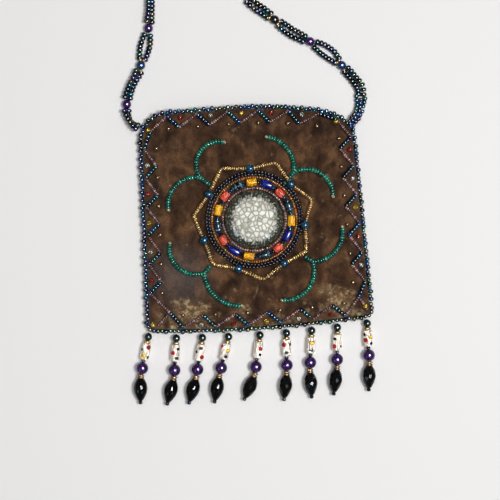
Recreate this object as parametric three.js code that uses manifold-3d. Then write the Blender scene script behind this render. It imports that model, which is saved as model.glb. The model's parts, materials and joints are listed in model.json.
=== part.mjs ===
// Beaded purse: a flat cloth pouch with a beaded edge, a zigzag border, a medallion round a
// glass cabochon, nine hanging bead drops and a neck strap of two bead strands.
// Millimetres. The purse lies on its back: X to the right, Y towards the mouth, Z out of the front.

import * as THREE from "three";
import { mergeVertices } from "three/addons/utils/BufferGeometryUtils.js";
import Module from "manifold-3d";

const wasm = await Module();
wasm.setup();

// Clearance between neighbouring solids
const GAP = 0.3;

// Cloth pouch, measured from the centre of the medallion
const TOP_WIDTH = 105.3;
const BOTTOM_WIDTH = 110.6;
const MOUTH_HEIGHT = 55.4;
const BOTTOM_DEPTH = 51.2;
const BOTTOM_BOW = 2.2;
const BOTTOM_CORNER = 2;
const LEFT_CORNER_RUN = 15.5;
const LEFT_CORNER_FALL = 14.4;
const SHOULDER_RUN = 22.5;
const SHOULDER_FALL = 18.4;
const MOUTH_DROOP = 3;
const DROOP_RUN = 34;
const CLOTH_THICKNESS = 1.2;
const SEAM_HEIGHT = 3.5;
const PUFF_HEIGHT = 8.8;
const LIP_LIFT = 2.8;
const LIP_RUN = 15;
const PUFF_BORDER = 14;
const PUFF_FLAT = 22;
const PUFF_CREST = 0.9;
const BACK_TURN_UP = 6;

// Edge row of seed beads
const EDGE_BEAD = 2.05;
const EDGE_WAIST = 1.1;

// Zigzag border: teeth along each side, clockwise, which start and end at margins from the corners
const TEETH_PER_SIDE = 6;
const TOP_TEETH_START = 13.3;
const TOP_TEETH_END = 16;
const RIGHT_TEETH_START = 17.3;
const RIGHT_TEETH_END = 16.8;
const BOTTOM_TEETH_START = 12.3;
const BOTTOM_TEETH_END = 16.8;
const LEFT_TEETH_START = 18.2;
const LEFT_TEETH_END = 16.4;
const ZIGZAG_BEAD = 1.5;
const ZIGZAG_OUTER_INSET = 0.9;
const ZIGZAG_INNER_INSET = 7;
const TOOTH_LEAN = 0.38;
const LEG_CLEARANCE = 0.65;
// Valley of the zigzag in each corner, clockwise from the right of the mouth: in from the side and the end
const CORNER_VALLEYS = [
  { side: 7.3, end: 8.6 }, { side: 5.3, end: 9 }, { side: 10.7, end: 7.9 }, { side: 4.6, end: 7.8 },
];

// Medallion
const MEDALLION_X = 0.7;
const CABOCHON_DIAMETER = 29.5;
const CABOCHON_EDGE = 1.6;
const CABOCHON_HEIGHT = 7.5;
const BEZEL_BEAD = 1.2;
const TUBE_BEAD = 3.7;
const YELLOW_TUBE = 5.2;
const COBALT_TUBE = 5.6;
const CORAL_TUBE = 4.6;
const TEAL_TUBE = 5.6;
const TUBE_LENGTHS = [
  YELLOW_TUBE, COBALT_TUBE, CORAL_TUBE, TEAL_TUBE, YELLOW_TUBE, COBALT_TUBE, CORAL_TUBE, TEAL_TUBE,
  YELLOW_TUBE, COBALT_TUBE, CORAL_TUBE, TEAL_TUBE, YELLOW_TUBE, CORAL_TUBE, TEAL_TUBE,
];
const TUBE_SPACER = 1.8;
const AMBER_BEAD = 1;
const BLACK_BEAD = 1.3;
// Valleys of the star: the angle of each, and how far it is tucked in over the black beads
const STAR_VALLEYS = [
  { angle: 90.8, tuck: 1.2 }, { angle: 39.8, tuck: 1.2 }, { angle: -10.5, tuck: 1.2 },
  { angle: -59.7, tuck: 0 }, { angle: -111.8, tuck: 0.7 }, { angle: -161.3, tuck: -0.6 },
  { angle: -212.7, tuck: 0.6 },
];
const STAR_POINT_RADIUS = 30.3;
const STAR_LINE = 1.5;
const STAR_BEAD = 3.5;
const STAR_BEAD_BORE = 1.3;

// Vines: each forks at a place measured from the centre of the medallion. One arm leaves the fork
// on a heading and ends beside a seam, at a level. The other ends near the mouth or the bottom.
const VINE_BEAD = 1.9;
const ARM_STEPS = 6;
const VINES = [
  {
    fork: [-25.2, 22.5],
    seamArm: { heading: 165, inset: 12.1, level: 7.6 },
    endArm: { heading: 122, inset: 16, across: -12.2 },
  },
  {
    fork: [21.2, 21.9],
    seamArm: { heading: 25, inset: 12.9, level: 8.7 },
    endArm: { heading: 78, inset: 14.9, across: 8.9 },
  },
  {
    fork: [-26.7, -24.9],
    seamArm: { heading: 194, inset: 12, level: -8.8 },
    endArm: { heading: -90, inset: 8.8, across: -9.2 },
  },
  {
    fork: [27.5, -23],
    seamArm: { heading: -4, inset: 9.8, level: -6.7 },
    endArm: { heading: -75, inset: 10.1, across: 11 },
  },
];

// Drops: evenly between margins from the bottom corners, each shifted a little by hand, and how far
// each leans at its upper and lower end
const DROP_LEFT_MARGIN = 0.7;
const DROP_RIGHT_MARGIN = 1.7;
const DROPS = [
  { shift: 0, lean: -15, tipLean: -4 },
  { shift: -0.8, lean: -7.5, tipLean: -18.5 },
  { shift: -1, lean: -13, tipLean: -19.5 },
  { shift: -1.2, lean: -17.5, tipLean: -14 },
  { shift: 0.8, lean: -11.5, tipLean: -27 },
  { shift: -0.2, lean: -3.5, tipLean: -10 },
  { shift: -0.8, lean: -6.5, tipLean: 0 },
  { shift: -1.3, lean: -4.5, tipLean: -11 },
  { shift: 0, lean: -1, tipLean: -5 },
];
const THREAD = 0.8;
const DROP_BORE = 1.5;
const TOP_PEARL = 4;
const TOP_SEED_LENGTH = 1.2;
const TOP_SEED_WIDTH = 2.6;
const DROP_TUBE_LENGTH = 8.2;
const DROP_TUBE_WIDTH = 4.3;
const DROP_TUBE_CHAMFER = 0.5;
const DARK_SEED_LENGTH = 1.2;
const DARK_SEED_WIDTH = 2;
const LOW_PEARL = 5.9;
const GOLD_SPACER_LENGTH = 2.1;
const GOLD_SPACER_WIDTH = 2.8;
const BLACK_DROP_LENGTH = 10.6;
const BLACK_DROP_WIDTH = 6.4;
const BLACK_DROP_TOP = 2.6;
const BLACK_DROP_FOOT = 2.2;
const BLACK_DROP_BELLY = 0.46;
const END_SEED = 2.1;

// Strap: the route of each run on the surface that the purse lies on, and the coiled remainder
const STRAP_WIDTH = 4.6;
const STRAP_THICKNESS = 2.1;
const STRAP_REST = 1.2;
const STRAP_STEPS = 14;
const COIL_CENTER = [-15.8, 155];
const COIL_RADIUS = 28;
const COIL_TURNS = 2.5;
const COIL_LAYER = 2.3;
const LEFT_ROUTE = [
  [-53.9, 49.9, 3.5], [-56.2, 51.4, 2.8], [-58.5, 54.4, 1.6], [-59.5, 58.1, 1.2], [-59.2, 62.6, 1.2],
  [-57.8, 68.1, 1.2], [-55.1, 73.6, 1.2], [-52.2, 78, 1.2], [-50.7, 81.7, 1.2], [-48, 91.2, 1.2],
  [-45.6, 100, 1.2], [-44.5, 106.1, 1.2], [-43.9, 112.1, 1.2], [-43.8, 124, 1.2],
];
const RIGHT_ROUTE = [
  [53.3, 45.9, 3.5], [56.9, 50.5, 1.8], [58.2, 56, 1.2], [58.6, 61.5, 1.2], [55.4, 67.4, 1.2],
  [50.2, 74.1, 1.2], [44.5, 80.4, 1.2], [35.1, 87.3, 1.2], [26.8, 92.2, 1.2], [17.9, 99.6, 1.2],
  [11.9, 104.8, 1.2], [7.1, 108.7, 1.2], [4, 113.2, 1.2], [4.2, 119.5, 1.2], [7.8, 126, 2.4],
];

// Sides and segments of the round solids
const LINE_SIDES = 4;
const STRING_SIDES = 5;
const STAR_BEAD_SIDES = 6;
const DROP_FLATS = 6;
const DROP_BEAD_SIDES = 8;
const COIL_SIDES = 18;
const CABOCHON_SIDES = 20;
const CABOCHON_ROWS = 4;
const BLACK_RING_SIDES = 24;
const FINE_RING_SIDES = 32;

const radians = THREE.MathUtils.degToRad;

function material(color, roughness, metalness = 0) {
  return new THREE.MeshStandardMaterial({ color, roughness, metalness });
}

const CLOTH = () => material(0x46342a, 0.95);
const EDGE_GLASS = () => material(0x1f5570, 0.25, 0.3);
const ZIGZAG_GLASS = () => material(0x5a5070, 0.3, 0.2);
const CABOCHON_GLASS = () => material(0xb9c2b4, 0.08);
const ROSE_GLASS = () => material(0x967068, 0.3);
const TUBE_GLAZE = () => material(0xe0a020, 0.3);
const AMBER_GLASS = () => material(0xb4602a, 0.3);
const BLACK_GLASS = () => material(0x16161e, 0.2);
const GOLD_GLASS = () => material(0xb58a3e, 0.3, 0.5);
const BLUE_GLASS = () => material(0x1a5068, 0.25);
const GREEN_GLASS = () => material(0x1f785f, 0.25);
const PEARL_THREAD = () => material(0x17352f, 0.2, 0.3);
const WHITE_GLAZE = () => material(0xefeae2, 0.35);
const PURPLE_PEARL = () => material(0x46185f, 0.2, 0.2);
const JET = () => material(0x0c0c0e, 0.12);

// Faces of an indexed geometry, turned over as a whole if they point inwards
function facingOut(geometry) {
  const position = geometry.getAttribute("position");
  const index = geometry.getIndex().array;
  const a = new THREE.Vector3();
  const b = new THREE.Vector3();
  const c = new THREE.Vector3();
  let volume = 0;
  for (let i = 0; i < index.length; i += 3) {
    a.fromBufferAttribute(position, index[i]);
    b.fromBufferAttribute(position, index[i + 1]);
    c.fromBufferAttribute(position, index[i + 2]);
    volume += a.dot(b.cross(c));
  }
  if (volume < 0) {
    geometry.setIndex(Array.from(index).reverse());
  }
  geometry.computeVertexNormals();
  return geometry;
}

// Solid through rings of equal point counts. A loop joins its last ring to its first, and any
// other solid is closed at each end from the middle of its ring.
function loft(rings, isLoop) {
  const sides = rings[0].length;
  const points = rings.flat();
  const index = [];
  const bands = isLoop ? rings.length : rings.length - 1;
  for (let i = 0; i < bands; i += 1) {
    const near = i * sides;
    const far = ((i + 1) % rings.length) * sides;
    for (let j = 0; j < sides; j += 1) {
      const next = (j + 1) % sides;
      index.push(near + j, near + next, far + next);
      index.push(near + j, far + next, far + j);
    }
  }
  if (!isLoop) {
    const first = rings[0];
    const last = rings[rings.length - 1];
    const lastStart = points.length - sides;
    const middle = (ring) => ring.reduce((sum, p) => sum.add(p), new THREE.Vector3()).divideScalar(sides);
    const nearMiddle = points.length;
    points.push(middle(first), middle(last));
    for (let j = 0; j < sides; j += 1) {
      const next = (j + 1) % sides;
      index.push(nearMiddle, next, j);
      index.push(nearMiddle + 1, lastStart + j, lastStart + next);
    }
  }
  const geometry = new THREE.BufferGeometry().setFromPoints(points);
  geometry.setIndex(index);
  return facingOut(geometry);
}

// Round bar with mitred corners along a path that stays close to level, with a radius at each point
function bar(path, radii, sides, isLoop) {
  const up = new THREE.Vector3(0, 0, 1);
  const count = path.length;
  const rings = path.map((point, i) => {
    const before = isLoop || i > 0 ? path[(i + count - 1) % count] : null;
    const after = isLoop || i < count - 1 ? path[(i + 1) % count] : null;
    const arriving = before ? point.clone().sub(before).normalize() : null;
    const leaving = after ? after.clone().sub(point).normalize() : null;
    const along = new THREE.Vector3();
    if (arriving) {
      along.add(arriving);
    }
    if (leaving) {
      along.add(leaving);
    }
    along.normalize();
    const across = along.clone().cross(up).normalize();
    const rise = across.clone().cross(along).normalize();
    const mitre = 1 / along.dot(arriving ?? leaving);
    return Array.from({ length: sides }, (_, j) => {
      const turn = (2 * Math.PI * j) / sides;
      return point.clone()
        .addScaledVector(across, radii[i] * Math.cos(turn) * mitre)
        .addScaledVector(rise, radii[i] * Math.sin(turn));
    });
  });
  return loft(rings, isLoop);
}

// Solid of revolution about its own Y axis from a closed outline of radius and height
function turned(outline, segments) {
  const profile = outline.map(([r, y]) => new THREE.Vector2(r, y));
  return facingOut(new THREE.LatheGeometry(profile, segments));
}

function addMesh(parent, name, geometry, surface) {
  const mesh = new THREE.Mesh(geometry, surface);
  mesh.name = name;
  parent.add(mesh);
  return mesh;
}

// Edge of the cloth, clockwise from the left end of the mouth
function clothEdge() {
  const top = TOP_WIDTH / 2;
  const bottom = BOTTOM_WIDTH / 2;
  const shoulder = MOUTH_HEIGHT - MOUTH_DROOP;
  const edge = new THREE.Path();
  edge.moveTo(-top + LEFT_CORNER_RUN, MOUTH_HEIGHT);
  edge.lineTo(top - SHOULDER_RUN - DROOP_RUN, MOUTH_HEIGHT);
  edge.quadraticCurveTo(top - SHOULDER_RUN - DROOP_RUN / 2, MOUTH_HEIGHT, top - SHOULDER_RUN, shoulder);
  edge.quadraticCurveTo(top, shoulder - MOUTH_DROOP, top, MOUTH_HEIGHT - SHOULDER_FALL);
  edge.lineTo(bottom, BOTTOM_CORNER - BOTTOM_DEPTH);
  edge.quadraticCurveTo(bottom, -BOTTOM_DEPTH, bottom - BOTTOM_CORNER, -BOTTOM_DEPTH);
  edge.quadraticCurveTo(0, -BOTTOM_DEPTH - 2 * BOTTOM_BOW, BOTTOM_CORNER - bottom, -BOTTOM_DEPTH);
  edge.quadraticCurveTo(-bottom, -BOTTOM_DEPTH, -bottom, BOTTOM_CORNER - BOTTOM_DEPTH);
  edge.lineTo(-top, MOUTH_HEIGHT - LEFT_CORNER_FALL);
  edge.quadraticCurveTo(-top, MOUTH_HEIGHT, -top + LEFT_CORNER_RUN, MOUTH_HEIGHT);
  return edge;
}

const CURVE_STEPS = 5;
const EDGE_SAMPLES = 800;
const edge = clothEdge();
const outline = edge.getPoints(CURVE_STEPS).slice(0, -1);
const edgeSamples = edge.getSpacedPoints(EDGE_SAMPLES);

// Share of the full lift of the front lip: none along the seams, all of it in the open mouth
function lipShare(point) {
  if (point.y < 0) {
    return 0;
  }
  return THREE.MathUtils.smoothstep(TOP_WIDTH / 2 - Math.abs(point.x), 0, LIP_RUN);
}

function outward(share) {
  const tangent = edge.getTangentAt(share);
  return new THREE.Vector2(-tangent.y, tangent.x);
}

// Point beside the edge at a share of its length, moved out from the cloth or, if negative, in
function besideEdge(share, out) {
  const place = ((share % 1) + 1) % 1;
  return edge.getPointAt(place).addScaledVector(outward(place), out);
}

// Share of the edge's length where it meets x or y = value, past a distance to one side of the middle
function edgeShare(axis, value, side, past) {
  const other = axis === "x" ? "y" : "x";
  const misses = edgeSamples.map((p) => (p[other] * side > past ? Math.abs(p[axis] - value) : Infinity));
  return misses.indexOf(Math.min(...misses)) / EDGE_SAMPLES;
}

const mouthPast = MOUTH_HEIGHT - Math.max(SHOULDER_FALL, LEFT_CORNER_FALL);
const bottomPast = BOTTOM_DEPTH - BOTTOM_CORNER;

// Rings of the cloth as shares of the way from the middle to the edge
const halfWidth = BOTTOM_WIDTH / 2;
const borderRing = 1 - PUFF_BORDER / halfWidth;
const flatRing = 1 - PUFF_FLAT / halfWidth;
const backRing = 1 - BACK_TURN_UP / halfWidth;

function frontRimHeight(lip) {
  return SEAM_HEIGHT + GAP / 2 + CLOTH_THICKNESS + LIP_LIFT * lip;
}

// Height of the front face at a share of the way to an edge point with the given lip share
function frontHeightAt(share, lip) {
  const rim = frontRimHeight(lip);
  const crest = THREE.MathUtils.lerp(rim, PUFF_HEIGHT, PUFF_CREST);
  if (share > borderRing) {
    return THREE.MathUtils.mapLinear(share, 1, borderRing, rim, crest);
  }
  if (share > flatRing) {
    return THREE.MathUtils.mapLinear(share, borderRing, flatRing, crest, PUFF_HEIGHT);
  }
  return PUFF_HEIGHT;
}

// Height of the front face over a point, from where the ray through it leaves the cloth
function frontHeight(x, y) {
  for (let i = 0; i < outline.length; i += 1) {
    const a = outline[i];
    const b = outline[(i + 1) % outline.length];
    const run = b.clone().sub(a);
    const turn = y * run.x - x * run.y;
    const reach = (a.y * run.x - a.x * run.y) / turn;
    const along = (x * a.y - y * a.x) / turn;
    if (reach > 0 && along >= 0 && along <= 1) {
      const lip = THREE.MathUtils.lerp(lipShare(a), lipShare(b), along);
      return frontHeightAt(1 / reach, lip);
    }
  }
  return PUFF_HEIGHT;
}

function clothRing(share, heightOf) {
  return outline.map((p) => new THREE.Vector3(p.x * share, p.y * share, heightOf(lipShare(p))));
}

// Front: flat in the middle, falling to the seams, and lifted along the mouth
function frontPanel() {
  const shares = [flatRing, borderRing, 1];
  const under = shares.map((s) => clothRing(s, (lip) => frontHeightAt(s, lip) - CLOTH_THICKNESS));
  const over = shares.map((s) => clothRing(s, (lip) => frontHeightAt(s, lip)));
  return loft([...under, ...over.reverse()], false);
}

// Back: flat where the purse rests, turned up to the seams, and flat out to the mouth
function backPanel() {
  const rimUnder = SEAM_HEIGHT - GAP / 2 - CLOTH_THICKNESS;
  const under = [clothRing(backRing, () => 0), clothRing(1, (lip) => rimUnder * (1 - lip))];
  const over = [
    clothRing(1, (lip) => rimUnder * (1 - lip) + CLOTH_THICKNESS),
    clothRing(backRing, () => CLOTH_THICKNESS),
  ];
  return loft([...under, ...over], false);
}

// Height of the thread that the edge beads are strung on
function rowHeight(share) {
  const lip = lipShare(edge.getPointAt(((share % 1) + 1) % 1));
  return SEAM_HEIGHT + (LIP_LIFT + (GAP + CLOTH_THICKNESS) / 2) * lip;
}

const rowOffset = EDGE_BEAD / 2 + GAP;

function edgeBeading() {
  const beads = Math.round(edge.getLength() / EDGE_BEAD);
  const path = [];
  const radii = [];
  for (let i = 0; i < 2 * beads; i += 1) {
    const share = i / (2 * beads);
    const place = besideEdge(share, rowOffset);
    path.push(new THREE.Vector3(place.x, place.y, rowHeight(share)));
    radii.push((i % 2 === 0 ? EDGE_BEAD : EDGE_WAIST) / 2);
  }
  return bar(path, radii, LINE_SIDES, true);
}

// Shares of the edge's length at the outer points of the zigzag, clockwise
function toothPlaces() {
  const top = TOP_WIDTH / 2;
  const bottom = BOTTOM_WIDTH / 2;
  const shares = Array.from({ length: TEETH_PER_SIDE }, (_, i) => i / (TEETH_PER_SIDE - 1));
  const along = (axis, side, past, from, to) => shares.map((share) => {
    return edgeShare(axis, THREE.MathUtils.lerp(from, to, share), side, past);
  });
  return [
    ...along("x", 1, mouthPast, TOP_TEETH_START - top, top - TOP_TEETH_END),
    ...along("y", 1, 0, MOUTH_HEIGHT - RIGHT_TEETH_START, RIGHT_TEETH_END - BOTTOM_DEPTH),
    ...along("x", -1, bottomPast, bottom - BOTTOM_TEETH_START, BOTTOM_TEETH_END - bottom),
    ...along("y", -1, 0, LEFT_TEETH_START - BOTTOM_DEPTH, MOUTH_HEIGHT - LEFT_TEETH_END),
  ];
}

function onFront({ x, y }, diameter, clearance) {
  return new THREE.Vector3(x, y, frontHeight(x, y) + clearance + diameter / 2);
}

// Point at distances in from the side and the end of a corner, clockwise from the right of the mouth
function inCorner(corner, { side, end }) {
  const right = corner < 2 ? 1 : -1;
  const atMouth = corner === 0 || corner === 3;
  const half = (atMouth ? TOP_WIDTH : BOTTOM_WIDTH) / 2;
  return new THREE.Vector2(right * (half - side), atMouth ? MOUTH_HEIGHT - end : end - BOTTOM_DEPTH);
}

function zigzagBeading() {
  const outer = toothPlaces();
  const path = outer.flatMap((share, i) => {
    const next = outer[(i + 1) % outer.length];
    const run = (next - share + 1) % 1;
    const point = besideEdge(share, -ZIGZAG_OUTER_INSET);
    const corner = Math.floor(i / TEETH_PER_SIDE);
    const lastOfSide = i % TEETH_PER_SIDE === TEETH_PER_SIDE - 1;
    const valley = lastOfSide
      ? inCorner(corner, CORNER_VALLEYS[corner])
      : besideEdge(share + run * TOOTH_LEAN, -ZIGZAG_INNER_INSET);
    return [onFront(point, ZIGZAG_BEAD, LEG_CLEARANCE), onFront(valley, ZIGZAG_BEAD, LEG_CLEARANCE)];
  });
  return bar(path, path.map(() => ZIGZAG_BEAD / 2), LINE_SIDES, true);
}

// Radii of the medallion's rings, from the glass outwards
const bezelRadius = (CABOCHON_DIAMETER + BEZEL_BEAD) / 2 + GAP;
const tubeRadius = bezelRadius + (BEZEL_BEAD + TUBE_BEAD) / 2 + GAP;
const amberRadius = tubeRadius + (TUBE_BEAD + AMBER_BEAD) / 2 + GAP;
const blackRadius = amberRadius + AMBER_BEAD / 2 + GAP + BLACK_BEAD;
const starClearRadius = blackRadius + BLACK_BEAD + GAP + STAR_BEAD / 2;

function polar(radius, degrees, z) {
  const angle = radians(degrees);
  return new THREE.Vector3(radius * Math.cos(angle), radius * Math.sin(angle), z);
}

// Glass dome with a low upright edge
function cabochon() {
  const radius = CABOCHON_DIAMETER / 2;
  const dome = Array.from({ length: CABOCHON_ROWS }, (_, i) => {
    const angle = (i / CABOCHON_ROWS) * (Math.PI / 2);
    const rise = (CABOCHON_HEIGHT - CABOCHON_EDGE) * Math.sin(angle);
    return [radius * Math.cos(angle), CABOCHON_EDGE + rise];
  });
  return turned([[0, 0], [radius, 0], ...dome, [0, CABOCHON_HEIGHT]], CABOCHON_SIDES);
}

// Tube beads on one ring of thread, each straight between two points of the ring
function tubeBeadRing() {
  const pitch = 360 / TUBE_LENGTHS.length;
  const path = [];
  const radii = [];
  TUBE_LENGTHS.forEach((length, i) => {
    const middle = 90 - i * pitch;
    const half = THREE.MathUtils.radToDeg(length / 2 / tubeRadius);
    const step = THREE.MathUtils.radToDeg(GAP / tubeRadius);
    const places = [half + step, half, -half, -half - step];
    places.forEach((place) => path.push(polar(tubeRadius, middle + place, GAP + TUBE_BEAD / 2)));
    radii.push(TUBE_SPACER / 2, TUBE_BEAD / 2, TUBE_BEAD / 2, TUBE_SPACER / 2);
  });
  return bar(path, radii, STRING_SIDES, true);
}

// Two rows of beads side by side, as one ring with a groove between the rows
function blackBeadRing() {
  const r = BLACK_BEAD / 2;
  const inner = blackRadius - r;
  const outer = blackRadius + r;
  return turned([
    [inner - r, r], [inner, 0], [outer, 0], [outer + r, r],
    [outer, 2 * r], [blackRadius, r], [inner, 2 * r], [inner - r, r],
  ], BLACK_RING_SIDES);
}

// Corners of the star line: each valley bead sits on the straight thread between two legs. A valley
// that is tucked in over the black beads is lifted by as much as it is tucked.
const valleyHalfRun = STAR_BEAD / 2 + GAP;
const starSectors = STAR_VALLEYS.map(({ angle, tuck }, i) => {
  const last = i === STAR_VALLEYS.length - 1;
  const next = last ? STAR_VALLEYS[0].angle - 360 : STAR_VALLEYS[i + 1].angle;
  return {
    valley: angle,
    point: (angle + next) / 2,
    radius: starClearRadius - tuck,
    height: GAP + STAR_BEAD / 2 + Math.max(0, tuck),
  };
});

// The thread beside a valley bead and the start of the leg beyond it, on one side of the bead
function valleyThread({ valley, radius, height }, side) {
  const bareThread = 0.2;
  return [valleyHalfRun, valleyHalfRun + bareThread].map((run) => {
    return polar(radius, valley + side * THREE.MathUtils.radToDeg(run / radius), height);
  });
}

function starBeading() {
  const path = [];
  const radii = [];
  starSectors.forEach((sector, i) => {
    const next = starSectors[(i + 1) % starSectors.length];
    path.push(...valleyThread(sector, -1));
    path.push(polar(STAR_POINT_RADIUS, sector.point, GAP + STAR_LINE / 2));
    path.push(...valleyThread(next, 1).reverse());
    radii.push(THREAD / 2, STAR_LINE / 2, STAR_LINE / 2, STAR_LINE / 2, THREAD / 2);
  });
  return bar(path, radii, LINE_SIDES, true);
}

// Round bead with a bore, about its own Y axis
function boredPearl(diameter, bore, segments) {
  const r = diameter / 2;
  const b = bore / 2;
  const end = Math.sqrt(r * r - b * b);
  const slant = r * Math.SQRT1_2;
  return turned([[b, -end], [slant, -slant], [r, 0], [slant, slant], [b, end], [b, -end]], segments);
}

function medallion() {
  const group = new THREE.Group();
  group.position.set(MEDALLION_X, 0, PUFF_HEIGHT);
  const upright = (mesh, height) => {
    mesh.rotation.x = Math.PI / 2;
    mesh.position.z = height;
  };
  upright(addMesh(group, "cabochon", cabochon(), CABOCHON_GLASS()), GAP);
  const bezel = new THREE.TorusGeometry(bezelRadius, BEZEL_BEAD / 2, LINE_SIDES, FINE_RING_SIDES);
  addMesh(group, "bezel_beading", bezel, ROSE_GLASS()).position.z = GAP + BEZEL_BEAD / 2;
  addMesh(group, "tube_bead_ring", tubeBeadRing(), TUBE_GLAZE());
  const amber = new THREE.TorusGeometry(amberRadius, AMBER_BEAD / 2, LINE_SIDES, FINE_RING_SIDES);
  addMesh(group, "amber_beading", amber, AMBER_GLASS()).position.z = GAP + AMBER_BEAD / 2;
  upright(addMesh(group, "black_beading", blackBeadRing(), BLACK_GLASS()), GAP);
  addMesh(group, "star_beading", starBeading(), GOLD_GLASS());
  starSectors.forEach(({ valley, radius, height }, i) => {
    const pearl = boredPearl(STAR_BEAD, STAR_BEAD_BORE, STAR_BEAD_SIDES);
    const bead = addMesh(group, `star_bead_${i + 1}`, pearl, BLUE_GLASS());
    bead.position.copy(polar(radius * Math.cos(valleyHalfRun / radius), valley, height));
    bead.rotation.z = radians(valley);
  });
  return group;
}

// Distance from the middle of the medallion to the far side of the star line at an angle
function starReach(degrees) {
  const turnedBy = (angle) => Math.abs(THREE.MathUtils.euclideanModulo(degrees - angle + 180, 360) - 180);
  const legs = starSectors.flatMap((sector, i) => {
    const next = starSectors[(i + 1) % starSectors.length];
    return [sector, next].map(({ valley, radius }) => {
      const turn = Math.abs(THREE.MathUtils.euclideanModulo(valley - sector.point + 180, 360) - 180);
      const between = turnedBy(sector.point) + turnedBy(valley) < turn + 0.01;
      return between ? THREE.MathUtils.lerp(STAR_POINT_RADIUS, radius, turnedBy(sector.point) / turn) : 0;
    });
  });
  return Math.max(...legs) + STAR_LINE / 2;
}

// Tips of a vine's arms, measured in from the edge of the cloth
function armTips({ fork: [forkX, forkY], seamArm, endArm }) {
  const side = Math.sign(forkX);
  const seam = edge.getPointAt(edgeShare("y", seamArm.level, side, 0)).x;
  const end = forkY > 0 ? MOUTH_HEIGHT - endArm.inset : endArm.inset - BOTTOM_DEPTH;
  return [
    new THREE.Vector2(seam - side * seamArm.inset, seamArm.level),
    new THREE.Vector2(MEDALLION_X + endArm.across, end),
  ];
}

// Arc that leaves a point on a heading and ends at a tip
function armPath(fork, heading, tip) {
  const chord = tip.clone().sub(fork);
  const swing = chord.angle() - radians(heading);
  const turn = Math.atan2(Math.sin(swing), Math.cos(swing));
  return Array.from({ length: ARM_STEPS + 1 }, (_, i) => {
    const share = i / ARM_STEPS;
    const reach = (chord.length() * Math.sin(turn * share)) / Math.sin(turn);
    const angle = radians(heading) + turn * share;
    return fork.clone().add(new THREE.Vector2(reach * Math.cos(angle), reach * Math.sin(angle)));
  });
}

function asSolid(geometry) {
  const bare = geometry.clone();
  bare.deleteAttribute("normal");
  bare.deleteAttribute("uv");
  const merged = mergeVertices(bare);
  return new wasm.Manifold(new wasm.Mesh({
    numProp: 3,
    vertProperties: new Float32Array(merged.getAttribute("position").array),
    triVerts: new Uint32Array(merged.getIndex().array),
  }));
}

function asGeometry(solid) {
  const mesh = solid.getMesh();
  const geometry = new THREE.BufferGeometry();
  geometry.setAttribute("position", new THREE.BufferAttribute(mesh.vertProperties, 3));
  geometry.setIndex(new THREE.BufferAttribute(mesh.triVerts, 1));
  geometry.computeVertexNormals();
  return geometry;
}

// Vine: two arms and a stem joined at the fork, laid on the front of the cloth
function vine(shape) {
  const center = new THREE.Vector2(MEDALLION_X, 0);
  const reach = new THREE.Vector2(...shape.fork);
  const fork = reach.clone().add(center);
  const rootReach = starReach(THREE.MathUtils.radToDeg(reach.angle())) + GAP + VINE_BEAD / 2;
  const root = reach.clone().setLength(Math.min(rootReach, reach.length() - VINE_BEAD / 2)).add(center);
  const [seamTip, endTip] = armTips(shape);
  const runs = [
    armPath(fork, shape.seamArm.heading, seamTip),
    armPath(fork, shape.endArm.heading, endTip),
    [root, fork],
  ];
  const bars = runs.map((run) => {
    const path = run.map((p) => onFront(p, VINE_BEAD, GAP));
    return asSolid(bar(path, path.map(() => VINE_BEAD / 2), LINE_SIDES, false));
  });
  return asGeometry(bars.reduce((whole, next) => whole.add(next)));
}

// Places of a drop's beads, as distances from the hinge in the edge row down the thread
function dropStack() {
  const stack = {};
  let at = EDGE_BEAD / 2 + GAP;
  const take = (name, length, clear) => {
    stack[name] = { from: at, to: at + length };
    at += length + clear;
  };
  take("topPearl", TOP_PEARL, 0);
  take("topSeed", TOP_SEED_LENGTH, GAP / 2);
  take("tube", DROP_TUBE_LENGTH, GAP / 2);
  take("darkSeed", DARK_SEED_LENGTH, GAP / 2);
  take("lowPearl", LOW_PEARL, GAP / 2);
  take("spacer", GOLD_SPACER_LENGTH, GAP / 2);
  take("blackDrop", BLACK_DROP_LENGTH, GAP / 2);
  take("endSeed", END_SEED, 0);
  return stack;
}

// Point at a distance down a drop, which bends once, in the middle of its gold spacer
function downDrop(distance, bend, lean, tipLean) {
  const step = (length, degrees) => {
    const angle = radians(degrees);
    return new THREE.Vector3(length * Math.sin(angle), -length * Math.cos(angle), 0);
  };
  const upper = step(Math.min(distance, bend), lean);
  return distance > bend ? upper.add(step(distance - bend, tipLean)) : upper;
}

// Thread with the beads that are tight on it: top pearl, seeds, spacer and end seed
function dropString(stack, pointAt) {
  const thread = THREAD / 2;
  const seedRounding = 0.15;
  const stations = [];
  const pearl = ({ from, to }, diameter) => {
    const middle = (from + to) / 2;
    const slant = (diameter / 2) * Math.SQRT1_2;
    stations.push([middle - slant, slant], [middle, diameter / 2], [middle + slant, slant]);
  };
  const seed = ({ from, to }, diameter) => {
    const round = seedRounding * (to - from);
    stations.push([from + round, diameter / 2], [to - round, diameter / 2]);
  };
  const bare = (from, to) => stations.push([from, thread], [to, thread]);
  stations.push([stack.topPearl.from, thread]);
  pearl(stack.topPearl, TOP_PEARL);
  stations.push([stack.topPearl.to, TOP_SEED_WIDTH / 4]);
  seed(stack.topSeed, TOP_SEED_WIDTH);
  bare(stack.topSeed.to, stack.darkSeed.from);
  seed(stack.darkSeed, DARK_SEED_WIDTH);
  bare(stack.darkSeed.to, stack.spacer.from);
  seed(stack.spacer, GOLD_SPACER_WIDTH);
  bare(stack.spacer.to, stack.endSeed.from);
  seed(stack.endSeed, END_SEED);
  stations.push([stack.endSeed.to, thread]);
  const path = stations.map(([at]) => pointAt(at));
  return bar(path, stations.map(([, radius]) => radius), STRING_SIDES, false);
}

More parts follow.
